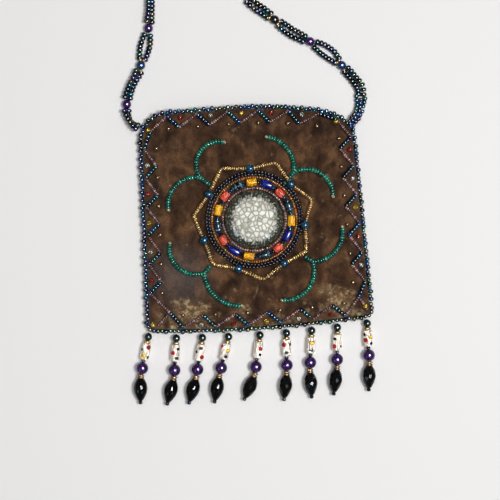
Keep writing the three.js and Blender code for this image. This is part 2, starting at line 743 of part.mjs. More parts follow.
function dropTube() {
  const half = DROP_TUBE_LENGTH / 2;
  const r = DROP_TUBE_WIDTH / 2;
  const b = DROP_BORE / 2;
  const c = DROP_TUBE_CHAMFER;
  return turned([
    [b, -half], [r - c, -half], [r, c - half],
    [r, half - c], [r - c, half], [b, half], [b, -half],
  ], DROP_BEAD_SIDES);
}

// Faceted black drop: six flats, widest a little above its middle
function blackDrop() {
  const half = BLACK_DROP_LENGTH / 2;
  const b = DROP_BORE / 2;
  const belly = half - BLACK_DROP_BELLY * BLACK_DROP_LENGTH;
  return turned([
    [b, -half], [BLACK_DROP_FOOT / 2, -half], [BLACK_DROP_WIDTH / 2, belly],
    [BLACK_DROP_TOP / 2, half], [b, half], [b, -half],
  ], DROP_FLATS);
}

const stack = dropStack();

function drop(place, { shift, lean, tipLean }) {
  const group = new THREE.Group();
  const number = place + 1;
  const first = DROP_LEFT_MARGIN - BOTTOM_WIDTH / 2;
  const last = BOTTOM_WIDTH / 2 - DROP_RIGHT_MARGIN;
  const x = THREE.MathUtils.lerp(first, last, place / (DROPS.length - 1)) + shift;
  const hinge = besideEdge(edgeShare("x", x, -1, bottomPast), rowOffset);
  group.position.set(hinge.x, hinge.y, SEAM_HEIGHT);
  const bend = (stack.spacer.from + stack.spacer.to) / 2;
  const pointAt = (distance) => downDrop(distance, bend, lean, tipLean);
  const hang = (mesh, { from, to }, degrees) => {
    mesh.position.copy(pointAt((from + to) / 2));
    mesh.rotation.z = radians(degrees);
  };
  addMesh(group, `drop_${number}_string`, dropString(stack, pointAt), PEARL_THREAD());
  hang(addMesh(group, `drop_${number}_tube`, dropTube(), WHITE_GLAZE()), stack.tube, lean);
  const pearl = boredPearl(LOW_PEARL, DROP_BORE, DROP_BEAD_SIDES);
  hang(addMesh(group, `drop_${number}_pearl`, pearl, PURPLE_PEARL()), stack.lowPearl, lean);
  hang(addMesh(group, `drop_${number}_bicone`, blackDrop(), JET()), stack.blackDrop, tipLean);
  return group;
}

// Flat strap of two strands, laid flat along a route
function strapRun(route, end) {
  const points = [...route, end].map((p) => new THREE.Vector3(...p));
  const section = new THREE.Shape();
  section.absellipse(0, 0, STRAP_THICKNESS / 2, STRAP_WIDTH / 2, 0, 2 * Math.PI, false, 0);
  return new THREE.ExtrudeGeometry(section, {
    extrudePath: new THREE.CatmullRomCurve3(points),
    steps: STRAP_STEPS,
    curveSegments: LINE_SIDES,
    bevelEnabled: false,
  });
}

// Coil of the rest of the strap: flat turns on each other
const coilOuter = COIL_RADIUS + STRAP_WIDTH / 2 + GAP;
const coilTop = STRAP_REST + (Math.ceil(COIL_TURNS) - 1) * COIL_LAYER + STRAP_THICKNESS / 2;
const coilFloor = STRAP_REST - STRAP_THICKNESS / 2;

function strapCoil() {
  const inner = COIL_RADIUS - STRAP_WIDTH / 2;
  const outer = COIL_RADIUS + STRAP_WIDTH / 2;
  const round = STRAP_THICKNESS / 2;
  return turned([
    [inner + round, coilFloor], [outer - round, coilFloor],
    [outer, coilFloor + round], [outer, coilTop - round],
    [outer - round, coilTop], [inner + round, coilTop],
    [inner, coilTop - round], [inner, coilFloor + round],
    [inner + round, coilFloor],
  ], COIL_SIDES);
}

// Where a run that comes straight up beside the coil meets its outside
function coilMeeting(side, z) {
  const inside = COIL_RADIUS - STRAP_WIDTH / 2;
  const below = Math.sqrt((coilOuter + GAP) ** 2 - inside ** 2);
  return [COIL_CENTER[0] + side * COIL_RADIUS, COIL_CENTER[1] - below, z];
}

function strap() {
  const group = new THREE.Group();
  const topLayer = STRAP_REST + (Math.ceil(COIL_TURNS) - 1) * COIL_LAYER;
  addMesh(group, "strap_left", strapRun(LEFT_ROUTE, coilMeeting(-1, STRAP_REST)), EDGE_GLASS());
  addMesh(group, "strap_right", strapRun(RIGHT_ROUTE, coilMeeting(1, topLayer)), EDGE_GLASS());
  const coil = addMesh(group, "strap_coil", strapCoil(), EDGE_GLASS());
  coil.rotation.x = Math.PI / 2;
  coil.position.set(COIL_CENTER[0], COIL_CENTER[1], 0);
  return group;
}

const purse = new THREE.Group();
addMesh(purse, "front_panel", frontPanel(), CLOTH());
addMesh(purse, "back_panel", backPanel(), CLOTH());
addMesh(purse, "edge_beading", edgeBeading(), EDGE_GLASS());
addMesh(purse, "zigzag_beading", zigzagBeading(), ZIGZAG_GLASS());
purse.add(medallion());
VINES.forEach((shape, i) => addMesh(purse, `vine_${i + 1}`, vine(shape), GREEN_GLASS()));
DROPS.forEach((shape, i) => purse.add(drop(i, shape)));
purse.add(strap());

export default purse;
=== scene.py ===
# %% [markdown]
# # A beaded purse
# The purse is a flat pouch of brown pile cloth, sewn over with glass beads. Nine drops hang from its
# bottom edge and a strap of two bead strands leaves its upper corners. The solid model gives the frame:
# every piece made here sits on a solid or takes the place of one. X points right, Y towards the mouth
# and Z out of the front, and the purse lies on its back on the floor. Sizes are in millimetres until a
# point is made.

# %% Load the solid model
import json
import math

import bmesh
import bpy
import numpy as np
from mathutils import Matrix, Vector, noise
from mathutils.kdtree import KDTree


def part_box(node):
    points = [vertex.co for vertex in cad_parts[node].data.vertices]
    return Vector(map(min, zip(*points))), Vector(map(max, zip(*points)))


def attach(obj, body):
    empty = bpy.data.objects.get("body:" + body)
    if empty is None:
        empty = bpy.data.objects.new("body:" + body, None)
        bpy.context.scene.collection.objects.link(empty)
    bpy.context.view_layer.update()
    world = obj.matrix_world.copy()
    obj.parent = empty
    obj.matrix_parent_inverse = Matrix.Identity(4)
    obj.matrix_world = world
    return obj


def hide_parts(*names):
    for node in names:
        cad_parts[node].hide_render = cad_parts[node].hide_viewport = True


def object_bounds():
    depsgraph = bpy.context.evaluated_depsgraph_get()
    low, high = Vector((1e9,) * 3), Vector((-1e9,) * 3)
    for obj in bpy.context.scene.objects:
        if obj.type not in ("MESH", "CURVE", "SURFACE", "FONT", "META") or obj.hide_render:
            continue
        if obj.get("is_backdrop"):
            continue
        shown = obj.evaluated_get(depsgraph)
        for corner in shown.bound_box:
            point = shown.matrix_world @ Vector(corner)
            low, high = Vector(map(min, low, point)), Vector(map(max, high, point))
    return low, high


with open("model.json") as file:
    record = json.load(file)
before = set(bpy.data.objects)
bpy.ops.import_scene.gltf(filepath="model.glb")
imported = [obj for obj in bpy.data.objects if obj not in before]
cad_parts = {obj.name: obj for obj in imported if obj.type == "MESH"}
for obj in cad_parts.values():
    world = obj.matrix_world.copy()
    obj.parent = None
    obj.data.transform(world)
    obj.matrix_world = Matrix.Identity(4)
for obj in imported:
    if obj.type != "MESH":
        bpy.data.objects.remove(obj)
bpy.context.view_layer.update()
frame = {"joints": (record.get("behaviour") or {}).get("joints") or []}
MM = 0.001
scene = bpy.context.scene
chance = np.random.default_rng(7)

# %% [markdown]
# ## Camera
# The photograph was taken from straight above. Its frame covers about a quarter of a metre, and the purse
# is turned four degrees in it, so the camera turns and the purse stays square in its frame.

# %% Camera
VIEW_WIDTH = 250 * MM
VIEW_CENTER = Vector((-2.5 * MM, -15 * MM, 6 * MM))
VIEW_TURN = math.radians(-4)
LENS = 100
SENSOR = 36

camera_data = bpy.data.cameras.new("camera")
camera_data.lens = LENS
camera_data.sensor_width = SENSOR
camera = bpy.data.objects.new("camera", camera_data)
camera.location = VIEW_CENTER + Vector((0, 0, VIEW_WIDTH * LENS / SENSOR))
camera.rotation_euler = (0, 0, VIEW_TURN)
scene.collection.objects.link(camera)
scene.camera = camera

# %% [markdown]
# ## Route of the strap
# The strap leaves both upper corners, and the photograph cuts it off at its upper edge. What isn't seen
# lies in a neat coil beyond that edge. The route is smoothed through the same points that the solid strap
# follows, and the coil is a helix of stacked turns.

# %% Lines through points


def point_gaps(line):
    """The distance from each point of a line to the next."""
    return np.linalg.norm(np.diff(line, axis=0), axis=1)


def distances(points, spot):
    """How far each of some points lies from a spot."""
    return np.linalg.norm(points - spot, axis=1)


def at_places(line, marks, places):
    """The points of a line at some places, where marks are the places of its own points."""
    return np.stack([np.interp(places, marks, part) for part in line.T], axis=-1)


def even_line(points, spacing):
    """The same line as points at an even spacing."""
    points = np.asarray(points, float)
    along = np.concatenate([[0], np.cumsum(point_gaps(points))])
    steps = np.linspace(0, along[-1], max(2, round(along[-1] / spacing) + 1))
    return at_places(points, along, steps)


def smooth_line(points, spacing):
    """A smooth line through the points, at an even spacing."""
    points = np.asarray(points, float)
    gaps = point_gaps(points)
    along = np.concatenate([[0], np.cumsum(gaps)])
    slopes = np.gradient(points, along, axis=0)
    steps = np.linspace(0, along[-1], 12 * len(points))
    span = np.clip(np.searchsorted(along, steps, side="right") - 1, 0, len(gaps) - 1)
    t = ((steps - along[span]) / gaps[span])[:, None]
    pull = gaps[span][:, None]
    line = (2 * t**3 - 3 * t**2 + 1) * points[span] + (3 * t**2 - 2 * t**3) * points[span + 1]
    line = line + pull * ((t**3 - 2 * t**2 + t) * slopes[span] + (t**3 - t**2) * slopes[span + 1])
    return even_line(line, spacing)


def ease(value):
    """A soft step from 0 to 1."""
    value = np.clip(value, 0, 1)
    return value * value * (3 - 2 * value)


# %% Route of the strap
STRAP_REST = 1.2
COIL_CENTER = (-15.8, 155)
COIL_RADIUS = 28
COIL_TURNS = 2.5
COIL_LAYER = 2.3
COIL_RAMP = 0.11
LEFT_ROUTE = [
    (-53.9, 49.9, 3.5), (-56.2, 51.4, 2.8), (-58.5, 54.4, 1.6), (-59.5, 58.1, 1.2), (-59.2, 62.6, 1.2),
    (-57.8, 68.1, 1.2), (-55.1, 73.6, 1.2), (-52.2, 78, 1.2), (-50.7, 81.7, 1.2), (-48, 91.2, 1.2),
    (-45.6, 100, 1.2), (-44.5, 106.1, 1.2), (-43.9, 112.1, 1.2), (-43.8, 124, 1.2), (-43.8, 140, 1.2),
]
RIGHT_ROUTE = [
    (53.3, 45.9, 3.5), (56.9, 50.5, 1.8), (58.2, 56, 1.2), (58.6, 61.5, 1.2), (55.4, 67.4, 1.2),
    (50.2, 74.1, 1.2), (44.5, 80.4, 1.2), (35.1, 87.3, 1.2), (26.8, 92.2, 1.2), (17.9, 99.6, 1.2),
    (11.9, 104.8, 1.2), (7.1, 108.7, 1.2), (4, 113.2, 1.2), (4.2, 119.5, 1.2), (7.8, 126, 2.4),
    (11.4, 140, 5.2),
]

turned = np.linspace(0, COIL_TURNS, 400)
level = np.floor(turned) + ease((turned % 1 - 1 + COIL_RAMP) / COIL_RAMP)
level[-1] = np.floor(COIL_TURNS)
coil = np.stack([
    COIL_CENTER[0] + COIL_RADIUS * np.cos(np.pi - 2 * np.pi * turned),
    COIL_CENTER[1] + COIL_RADIUS * np.sin(np.pi - 2 * np.pi * turned),
    STRAP_REST + COIL_LAYER * np.round(level, 6),
], axis=1)
left_run = smooth_line(LEFT_ROUTE + [tuple(coil[0])], 1)
right_run = smooth_line(RIGHT_ROUTE + [tuple(coil[-1])], 1)
strap_route = even_line(np.concatenate([left_run, coil[1:-1], right_run[::-1]]), 1)

# %% [markdown]
# ## Beads and how they are strung
# A glass bead is a short piece of pulled tube whose ends are melted round. Each kind is modelled once, as
# a small section turned about its thread, and then copied to every place on its row. The tint of a bead is
# kept on its points, so that one finish can serve a whole row of mixed beads.

# %% Bead shapes


def mesh_of(bm, name="bead"):
    """Turns a bmesh into a mesh."""
    mesh = bpy.data.meshes.new(name)
    bm.to_mesh(mesh)
    bm.free()
    return mesh


def turned_shape(section, sides, closed=True):
    """A section of (distance from the thread, place along it) in mm, turned about Z."""
    bm = bmesh.new()
    ring = [bm.verts.new((reach * MM, 0, place * MM)) for reach, place in section]
    ends = ring[1:] + ring[:1] if closed else ring[1:]
    edges = [bm.edges.new(pair) for pair in zip(ring, ends)]
    bmesh.ops.spin(bm, geom=ring + edges, cent=(0, 0, 0), axis=(0, 0, 1),
                   angle=2 * math.pi, steps=sides, use_merge=True)
    bmesh.ops.remove_doubles(bm, verts=bm.verts, dist=1e-7)
    bmesh.ops.recalc_face_normals(bm, faces=bm.faces)
    return mesh_of(bm)


def seed(width, length, hole, sides=9):
    """A seed bead: a ring with rounded ends."""
    middle = (width + hole) / 4
    section = [
        (hole / 2, -0.3 * length), (middle, -0.5 * length), (width / 2, -0.22 * length),
        (width / 2, 0.22 * length), (middle, 0.5 * length), (hole / 2, 0.3 * length),
    ]
    return turned_shape(section, sides)


def ball(width, segments=20):
    """A round bead."""
    bm = bmesh.new()
    bmesh.ops.create_uvsphere(bm, u_segments=segments, v_segments=segments // 2 + 2, radius=width / 2 * MM)
    return mesh_of(bm)


# %% Stringing


def tone(red, green, blue):
    """A colour as seen on a screen, turned into the light it stands for."""
    shares = np.array([red, green, blue]) / 255
    light = np.where(shares <= 0.04045, shares / 12.92, ((shares + 0.055) / 1.055) ** 2.4)
    return (*light.tolist(), 1.0)


def new_bmesh():
    """An empty bmesh with a layer for tints."""
    bm = bmesh.new()
    bm.verts.layers.float_color.new("tint")
    return bm


def stained(bm, verts, tint):
    """Gives points their tint."""
    layer = bm.verts.layers.float_color["tint"]
    for vert in verts:
        vert[layer] = tint


def placed(bm, shape, center, axis, tint, finish=0, spin=0.0):
    """Adds one copy of a shape with its thread along the axis."""
    first_vert, first_face = len(bm.verts), len(bm.faces)
    bm.from_mesh(shape)
    bm.verts.ensure_lookup_table()
    bm.faces.ensure_lookup_table()
    turn = Vector((0, 0, 1)).rotation_difference(Vector(axis)).to_matrix().to_4x4()
    move = Matrix.Translation(Vector(center) * MM) @ turn @ Matrix.Rotation(spin, 4, "Z")
    fresh = bm.verts[first_vert:]
    bmesh.ops.transform(bm, matrix=move, verts=fresh)
    stained(bm, fresh, tint)
    for face in bm.faces[first_face:]:
        face.material_index = finish


def headings(line, closed=False):
    """The unit direction of a line at each of its points."""
    if closed:
        step = np.roll(line, -1, axis=0) - np.roll(line, 1, axis=0)
    else:
        step = np.gradient(line, axis=0)
    return step / np.linalg.norm(step, axis=1)[:, None]


LIGHTER_OR_DARKER = (0.75, 1.25)


def mixed(palette, count):
    """Tints drawn from a palette, each a little lighter or darker than its neighbour."""
    picks = chance.integers(len(palette), size=count)
    shades = chance.uniform(*LIGHTER_OR_DARKER, size=count)
    return [
        (*[min(1, part * shade) for part in palette[pick][:3]], 1.0)
        for pick, shade in zip(picks, shades)
    ]


# %% Making a piece


def finished(name, bm, finishes, body="purse", nodes=(), sharp=None):
    """Turns a bmesh into a piece of the purse that rides a body."""
    mesh = mesh_of(bm, name)
    for finish in finishes:
        mesh.materials.append(finish)
    mesh.polygons.foreach_set("use_smooth", [True] * len(mesh.polygons))
    if sharp is not None:
        mesh.set_sharp_from_angle(angle=math.radians(sharp))
    piece = bpy.data.objects.new(name, mesh)
    scene.collection.objects.link(piece)
    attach(piece, body)
    if nodes:
        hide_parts(*nodes)
    print(name, "faces:", len(mesh.polygons))
    return piece


# %% [markdown]
# ## Finishes of glass
# Seed beads are coloured glass, and the dark ones have a vapour coat that shows blue, green and violet at
# once. One maker of finishes serves them all: the tint comes from the points, fine noise breaks it up, and
# a clear coat gives the small sharp lights. Gold beads are lined with metal and pearls have a thin bright
# skin. Two helpers keep the making of a finish short: one sets or joins the inputs of a shader node, the
# other adds a node and returns what it gives out.

# %% Finishes of glass


def new_finish(name):
    """A new material and its main shader."""
    material = bpy.data.materials.new(name)
    material.use_nodes = True
    return material, material.node_tree.nodes["Principled BSDF"]


def feed(node, inputs):
    """Sets inputs of a shader node, each to a value or to an output of another node."""
    for name, value in inputs.items():
        if isinstance(value, bpy.types.NodeSocket):
            node.id_data.links.new(value, node.inputs[name])
        else:
            node.inputs[name].default_value = value


def wire(material, kind, output, inputs, **settings):
    """Adds a shader node with its settings and inputs, and returns one of its outputs."""
    node = material.node_tree.nodes.new("ShaderNode" + kind)
    for name, value in settings.items():
        setattr(node, name, value)
    feed(node, inputs)
    return node.outputs[output]


def bead_finish(name, roughness, metallic=0.0, coat=0.35, film=0.0, mottle=0.35, grain=900, gloss=0.4):
    """A glass finish that reads the tint of each bead."""
    material, shader = new_finish(name)
    tint = wire(material, "Attribute", "Color", {}, attribute_name="tint")
    place = wire(material, "TexCoord", "Object", {})
    cloud = wire(material, "TexNoise", "Fac", {"Vector": place, "Scale": grain, "Detail": 2})
    share = wire(material, "MapRange", "Result", {
        "Value": cloud, "From Min": 0.3, "From Max": 0.7, "To Min": 1 - mottle, "To Max": 1 + mottle,
    })
    feed(shader, {
        "Base Color": wire(material, "VectorMath", "Vector", {0: tint, "Scale": share}, operation="SCALE"),
        "Roughness": roughness,
        "Metallic": metallic,
        "Coat Weight": coat,
        "Coat Roughness": 0.04,
        "Thin Film Thickness": film,
        "Specular IOR Level": gloss,
    })
    return material


blue_iris = bead_finish("blue_iris", 0.08, metallic=0.15, coat=0.45, film=360)
green_iris = bead_finish("green_iris", 0.08, metallic=0.15, coat=0.45, film=425)
seed_glass = bead_finish("seed_glass", 0.1, coat=0.32, gloss=0.25)
gold_lined = bead_finish("gold_lined", 0.34, metallic=0.2, coat=0.3)
pearl_skin = bead_finish("pearl_skin", 0.2, metallic=0.45, mottle=0.2, grain=400)

NAVY = tone(12, 22, 56)
BLUE = tone(16, 52, 94)
TEAL = tone(12, 60, 70)
SEA_GREEN = tone(13, 54, 46)
VIOLET = tone(43, 27, 66)
BRONZE = tone(62, 54, 32)
NIGHT = tone(7, 9, 14)
GOLD = tone(138, 108, 54)
PURPLE = tone(54, 22, 84)

# %% [markdown]
# ## Strap
# Two strands of seeds run side by side and pass together through a larger link bead every two centimetres
# or so. Each link has a bow and a lean: how far the strands after it stand apart, and how far one of them
# rides up on the other. The links seen in the photograph are put where they are seen, and the hidden ones
# follow at the same spacing.

# %% Links of the strap
SEEN_SEED = 3.2
LINK_WIDTH = 4.6
HIDDEN_LINK_WIDTH = 3.4
HIDDEN_BOW = 1.6
LINK_SPACING = 20
SEEN_LINKS = [
    ((-59.2, 62.6), PURPLE, 1.2, 40), ((-50.7, 81.7), BLUE, 2.3, 0), ((-45.6, 100), PURPLE, 1.2, 50),
    ((17.9, 99.6), NIGHT, 1.7, 0), ((35.1, 87.3), PURPLE, 2.5, 0), ((50.2, 74.1), BLUE, 1.5, 30),
]


def nearest_step(spot):
    """The millimetre of the strap's route that passes nearest to a spot of the plan."""
    return int(np.argmin(distances(strap_route[:, :2], spot)))


links = [(nearest_step(spot), tint, bow, LINK_WIDTH, lean) for spot, tint, bow, lean in SEEN_LINKS]
hidden = np.arange(links[2][0] + LINK_SPACING, links[3][0] - LINK_SPACING / 2, LINK_SPACING)
for number, step in enumerate(hidden.astype(int)):
    links.append((int(step), [BLUE, PURPLE, NIGHT][number % 3], HIDDEN_BOW, HIDDEN_LINK_WIDTH, 0))
links.sort(key=lambda link: link[0])
print("link beads:", len(links))

# %% [markdown]
# The strap lies on the floor. Its route climbs over the tie that holds the coil, and it lifts at each link
# so that the larger bead rests on the floor as well.

# %% Level of the strap
TIE_WIDTH = 1.1
TIE_SPOT = (COIL_CENTER[0], COIL_CENTER[1] + COIL_RADIUS)
TIE_RUN = 7
LINK_RUN = 4

from_tie = distances(strap_route[:, :2], TIE_SPOT) / TIE_RUN
strap_route[:, 2] = np.maximum(strap_route[:, 2], SEEN_SEED / 2) + TIE_WIDTH * np.exp(-from_tie**2)
for step, _, _, width, _ in links:
    lift = max(0, width / 2 - strap_route[step, 2])
    near = np.abs(np.arange(len(strap_route)) - step) / LINK_RUN
    strap_route[:, 2] += lift * np.exp(-near**2)
strap_heading = headings(strap_route)
strap_across = np.stack([-strap_heading[:, 1], strap_heading[:, 0], np.zeros(len(strap_route))], axis=1)


def on_strap(step, offset=0.0, rise=0.0):
    """The point of the strap a number of millimetres along it, beside its middle line."""
    beside = strap_route + offset * strap_across
    return at_places(beside, np.arange(len(beside)), step) + (0, 0, rise)


# %% [markdown]
# Between two links the strands bow apart and come back together. The seeds have blue and green coats by
# chance. Blue and black links have small gold seeds at both ends.

# %% Strands of the strap
STRAP_PITCH = 2.05
CLOSE_STRANDS = 1.45
FIRST_BOW = 1.2
FIRST_LEAN = 78
BUNDLE = 15
STRAND_JITTER = 0.07
GOLD_GAP = 0.3
GOLD_SIDE = 0.9
GOLD_RISE = 0.5
GREEN_OF_STRAP = 0.3
STRAP_MIX = [NAVY, NIGHT, NIGHT, TEAL, NIGHT, VIOLET, NAVY, SEA_GREEN, NIGHT, BRONZE]

strap_seed = seed(2.8, 1.95, 0.8)
seen_seed = seed(SEEN_SEED, 2.05, 0.8)
link_balls = {width: ball(width) for width in (LINK_WIDTH, HIDDEN_LINK_WIDTH)}
gold_seed = seed(1.9, 1.2, 0.7)
strap_finishes = [blue_iris, green_iris, pearl_skin, gold_lined, seed_glass]
strap = new_bmesh()


def iris(green_share):
    """The number of a bead's finish: 0 for a blue iris coat, 1 for a green one."""
    return int(chance.random() < green_share)


def swell(count, margin, power):
    """Values that rise to one at the middle of a run and fall again."""
    return np.sin(np.pi * np.linspace(margin, 1 - margin, count)) ** power


bundle_start = len(strap_route) - BUNDLE
stops = [(0, None, FIRST_BOW, 0, FIRST_LEAN)] + links + [(bundle_start, None, 0, 0, 0)]
for (start, _, bow, width, lean), (end, _, _, next_width, _) in zip(stops, stops[1:]):
    first = start + width / 2 + STRAP_PITCH / 2
    last = end - next_width / 2 - STRAP_PITCH / 2
    count = max(2, round((last - first) / STRAP_PITCH) + 1)
    shape = strap_seed if width == next_width == HIDDEN_LINK_WIDTH else seen_seed
    steps = np.linspace(first, last, count)
    opened = CLOSE_STRANDS + (bow - CLOSE_STRANDS) * swell(count, 0.02, 0.8)
    tipped = math.radians(lean) * swell(count, 0.1, 0.5)
    for side in (-1, 1):
        spots = np.array([
            on_strap(step, side * opening * math.cos(tip), (1 + side) * opening * math.sin(tip))
            for step, opening, tip in zip(steps, opened, tipped)
        ])
        spots[:, :2] += chance.normal(0, STRAND_JITTER, (count, 2))
        for spot, heading, tint in zip(spots, headings(spots), mixed(STRAP_MIX, count)):
            placed(strap, shape, spot, heading, tint, iris(GREEN_OF_STRAP))

for step, tint, _, width, _ in links:
    heading = strap_heading[step]
    finish = strap_finishes.index(seed_glass if tint is NIGHT else pearl_skin)
    placed(strap, link_balls[width], strap_route[step], heading, tint, finish)
    if tint is not PURPLE:
        for side in (-1, 1):
            for strand in (-1, 1):
                spot = on_strap(step + side * (width / 2 + GOLD_GAP), strand * GOLD_SIDE, GOLD_RISE)
                placed(strap, gold_seed, spot, heading, GOLD, strap_finishes.index(gold_lined))

# %% [markdown]
# At the right corner the strands are sewn down as one bundle, three strands thick, which gathers towards
# the corner and runs on a little past the end of the route.

# %% Corner bundle
BUNDLE_MIX = [BLUE, TEAL, NAVY, BLUE, TEAL, VIOLET, BLUE, SEA_GREEN, NAVY, BRONZE]
BUNDLE_STRANDS = [(-1.9, 0.0), (1.9, 0.0), (0.0, 1.5)]
BUNDLE_SHIFT = 0.7
BUNDLE_PAST = 1.5
BUNDLE_GATHER = 5
BUNDLE_OPEN = 1.15
BUNDLE_DRAWN_IN = 0.3
BUNDLE_JITTER = 0.12
BUNDLE_TILT = 0.15

bundle_seed = seed(2.3, 1.9, 0.8)
strap_end = len(strap_route) - 1
for number, (offset, rise) in enumerate(BUNDLE_STRANDS):
    for step in np.arange(bundle_start + BUNDLE_SHIFT * number, strap_end + 1 + BUNDLE_PAST, STRAP_PITCH):
        gathered = ease((step - bundle_start) / BUNDLE_GATHER)
        beyond = max(0, step - strap_end) * strap_heading[-1]
        spread = BUNDLE_OPEN - BUNDLE_DRAWN_IN * gathered
        spot = on_strap(step, offset * spread, rise * gathered) + beyond
        spot[:2] += chance.normal(0, BUNDLE_JITTER, 2)
        heading = strap_heading[min(int(step), strap_end)] + (0, 0, chance.normal(0, BUNDLE_TILT))
        placed(strap, bundle_seed, spot, heading, mixed(BUNDLE_MIX, 1)[0], iris(GREEN_OF_STRAP))

strap_piece = finished("strap", strap, strap_finishes,
                       nodes=("strap_left", "strap_right", "strap_coil"))

# %% [markdown]
# A tie holds the coil, since nothing else would. It is one turn of soft cord round the three layers.

# %% Tie of the coil
TIE_HALF_WIDTH = 3.8
TIE_HALF_HEIGHT = 4.1
TIE_SIDES = 8

tie_section = [
    (TIE_HALF_WIDTH + TIE_WIDTH / 2 * math.cos(turn), TIE_WIDTH / 2 * math.sin(turn))
    for turn in np.arange(TIE_SIDES) * 2 * math.pi / TIE_SIDES
]
thread_finish = bead_finish("thread", 0.8, coat=0.0)
tie = new_bmesh()
placed(tie, turned_shape(tie_section, 32), (0, 0, 0), (1, 0, 0), tone(120, 96, 70))
bmesh.ops.scale(tie, vec=(1, 1, TIE_HALF_HEIGHT / TIE_HALF_WIDTH), verts=tie.verts)
tie_center = Vector((*TIE_SPOT, STRAP_REST + COIL_LAYER + TIE_WIDTH))
bmesh.ops.translate(tie, vec=tie_center * MM, verts=tie.verts)
tie_piece = finished("strap_tie", tie, [thread_finish])

# %% [markdown]
# ## Edge of the cloth
# Both panels are cut to one outline: a straight mouth with a sloping right shoulder, sides that widen
# downwards and a bottom that sags in the middle. The outline is walked by share of its length, as in the
# solid model, so the beads of the edge and the zigzag fall on the same places.

# %% Edge of the cloth
TOP_HALF = 52.65
BOTTOM_HALF = 55.3
MOUTH = 55.4
SIDE_FOOT = -51.2
SAG = -55.6
FOOT_ROUND = 2
MOUTH_LEFT = (-37.15, MOUTH)
MOUTH_RIGHT = (-3.85, MOUTH)
SHOULDER = (30.15, 52.4)


def bend(start, control, end, steps=60):
    """A curved run that leaves start towards control and arrives at end from it."""
    t = np.linspace(0, 1, steps)[:, None]
    return (1 - t) ** 2 * np.array(start) + 2 * t * (1 - t) * np.array(control) + t**2 * np.array(end)


foot_half = BOTTOM_HALF - FOOT_ROUND
foot_top = SIDE_FOOT + FOOT_ROUND
edge = np.concatenate([
    [MOUTH_LEFT, MOUTH_RIGHT],
    bend(MOUTH_RIGHT, (13.15, MOUTH), SHOULDER)[1:],
    bend(SHOULDER, (TOP_HALF, 49.4), (TOP_HALF, 37))[1:],
    bend((BOTTOM_HALF, foot_top), (BOTTOM_HALF, SIDE_FOOT), (foot_half, SIDE_FOOT), 12),
    bend((foot_half, SIDE_FOOT), (0, SAG), (-foot_half, SIDE_FOOT))[1:],
    bend((-foot_half, SIDE_FOOT), (-BOTTOM_HALF, SIDE_FOOT), (-BOTTOM_HALF, foot_top), 12)[1:],
    bend((-TOP_HALF, 41), (-TOP_HALF, MOUTH), MOUTH_LEFT),
])
edge = even_line(edge, 0.1)
edge_heading = headings(edge)
edge_outward = np.stack([-edge_heading[:, 1], edge_heading[:, 0]], axis=1)
edge_shares = np.linspace(0, 1, len(edge))
LAST_SHARE = 0.999999


def beside_edge(share, outward):
    """The point at a share of the edge, moved out from it, or in where outward is negative."""
    return at_places(edge + outward * edge_outward, edge_shares, np.asarray(share) % 1)


def edge_share(value, axis, side):
    """The share at which the edge crosses a place along one axis, on one side of the other axis."""
    misses = np.abs(edge[:, axis] - value)
    misses[edge[:, 1 - axis] * side < 0] = np.inf
    return edge_shares[int(np.argmin(misses))]


print("edge length mm:", round(float(point_gaps(edge).sum()), 1))

# %% [markdown]
# The front is puffed out: it climbs from the seam to a flat middle under the medallion, and at the mouth
# its lip stands off the back. Every bead row asks this height for the level it is sewn at.

# %% Height of the front
SEAM_TOP = 4.85
LIP_LIFT = 2.8
LIP_RUN = 15
PUFF = 8.8
FLAT_SHARE = 0.602
PUFF_CURVE = 2.3
SINK = 0.2


def lip_at(points):
    """How much of the lip's lift points of the edge have: none below, all along the mouth."""
    return np.where(points[..., 1] < 0, 0, ease((TOP_HALF - np.abs(points[..., 0])) / LIP_RUN))


edge_angle = np.arctan2(edge[:, 1], edge[:, 0])
edge_reach = np.hypot(edge[:, 0], edge[:, 1])
ray_order = np.argsort(edge_angle)


def cloth_share(points):
    """How far out towards the edge points lie, and how much of the lip's lift they feel."""
    angle = np.arctan2(points[..., 1], points[..., 0])
    reach, lip = [
        np.interp(angle, edge_angle[ray_order], values[ray_order], period=2 * np.pi)
        for values in (edge_reach, lip_at(edge))
    ]
    return np.hypot(points[..., 0], points[..., 1]) / reach, lip


def front_height(points):
    """The level of the front cloth under points of the plan."""
    share, lip = cloth_share(np.asarray(points, float))
    rim = SEAM_TOP + LIP_LIFT * lip
    fall = np.clip((share - FLAT_SHARE) / (1 - FLAT_SHARE), 0, 1) ** PUFF_CURVE
    return PUFF - (PUFF - rim) * fall


def on_cloth(line, width):
    """A line of the plan lifted onto the cloth for beads of a width."""
    line = np.asarray(line, float)
    return np.concatenate([line, (front_height(line) + width / 2 - SINK)[:, None]], axis=1)


# %% [markdown]
# A row of beads is sewn along a line. The places are kept, because the cloth is pulled in at each of them.

# %% Sewing a row
ANY_TURN = 6.28
sewn = []


def bead_row(bm, shape, line, tints, finish=0, closed=False, jitter=0.0):
    """Strings a bead at every point of a line, with its thread along the line."""
    line = np.array(line)
    line[:, :2] += chance.normal(0, jitter, (len(line), 2))
    for spot, heading, tint in zip(line, headings(line, closed), tints):
        placed(bm, shape, spot, heading, tint, finish, chance.uniform(0, ANY_TURN))
    sewn.extend(line[:, :2])


# %% [markdown]
# ## Edge row
# One row of mixed dark beads is whip-stitched round the whole front. Each bead stands with its hole
# pointing out of the seam, so the row is one bead wide and its pitch is the width of a bead. The stitches
# pull the beads in and out by turns. Where a drop hangs from the row, the bead is a little smaller and lies
# straight, so that the drop has room to swing. The mix is bluer on the left and greener along the bottom.

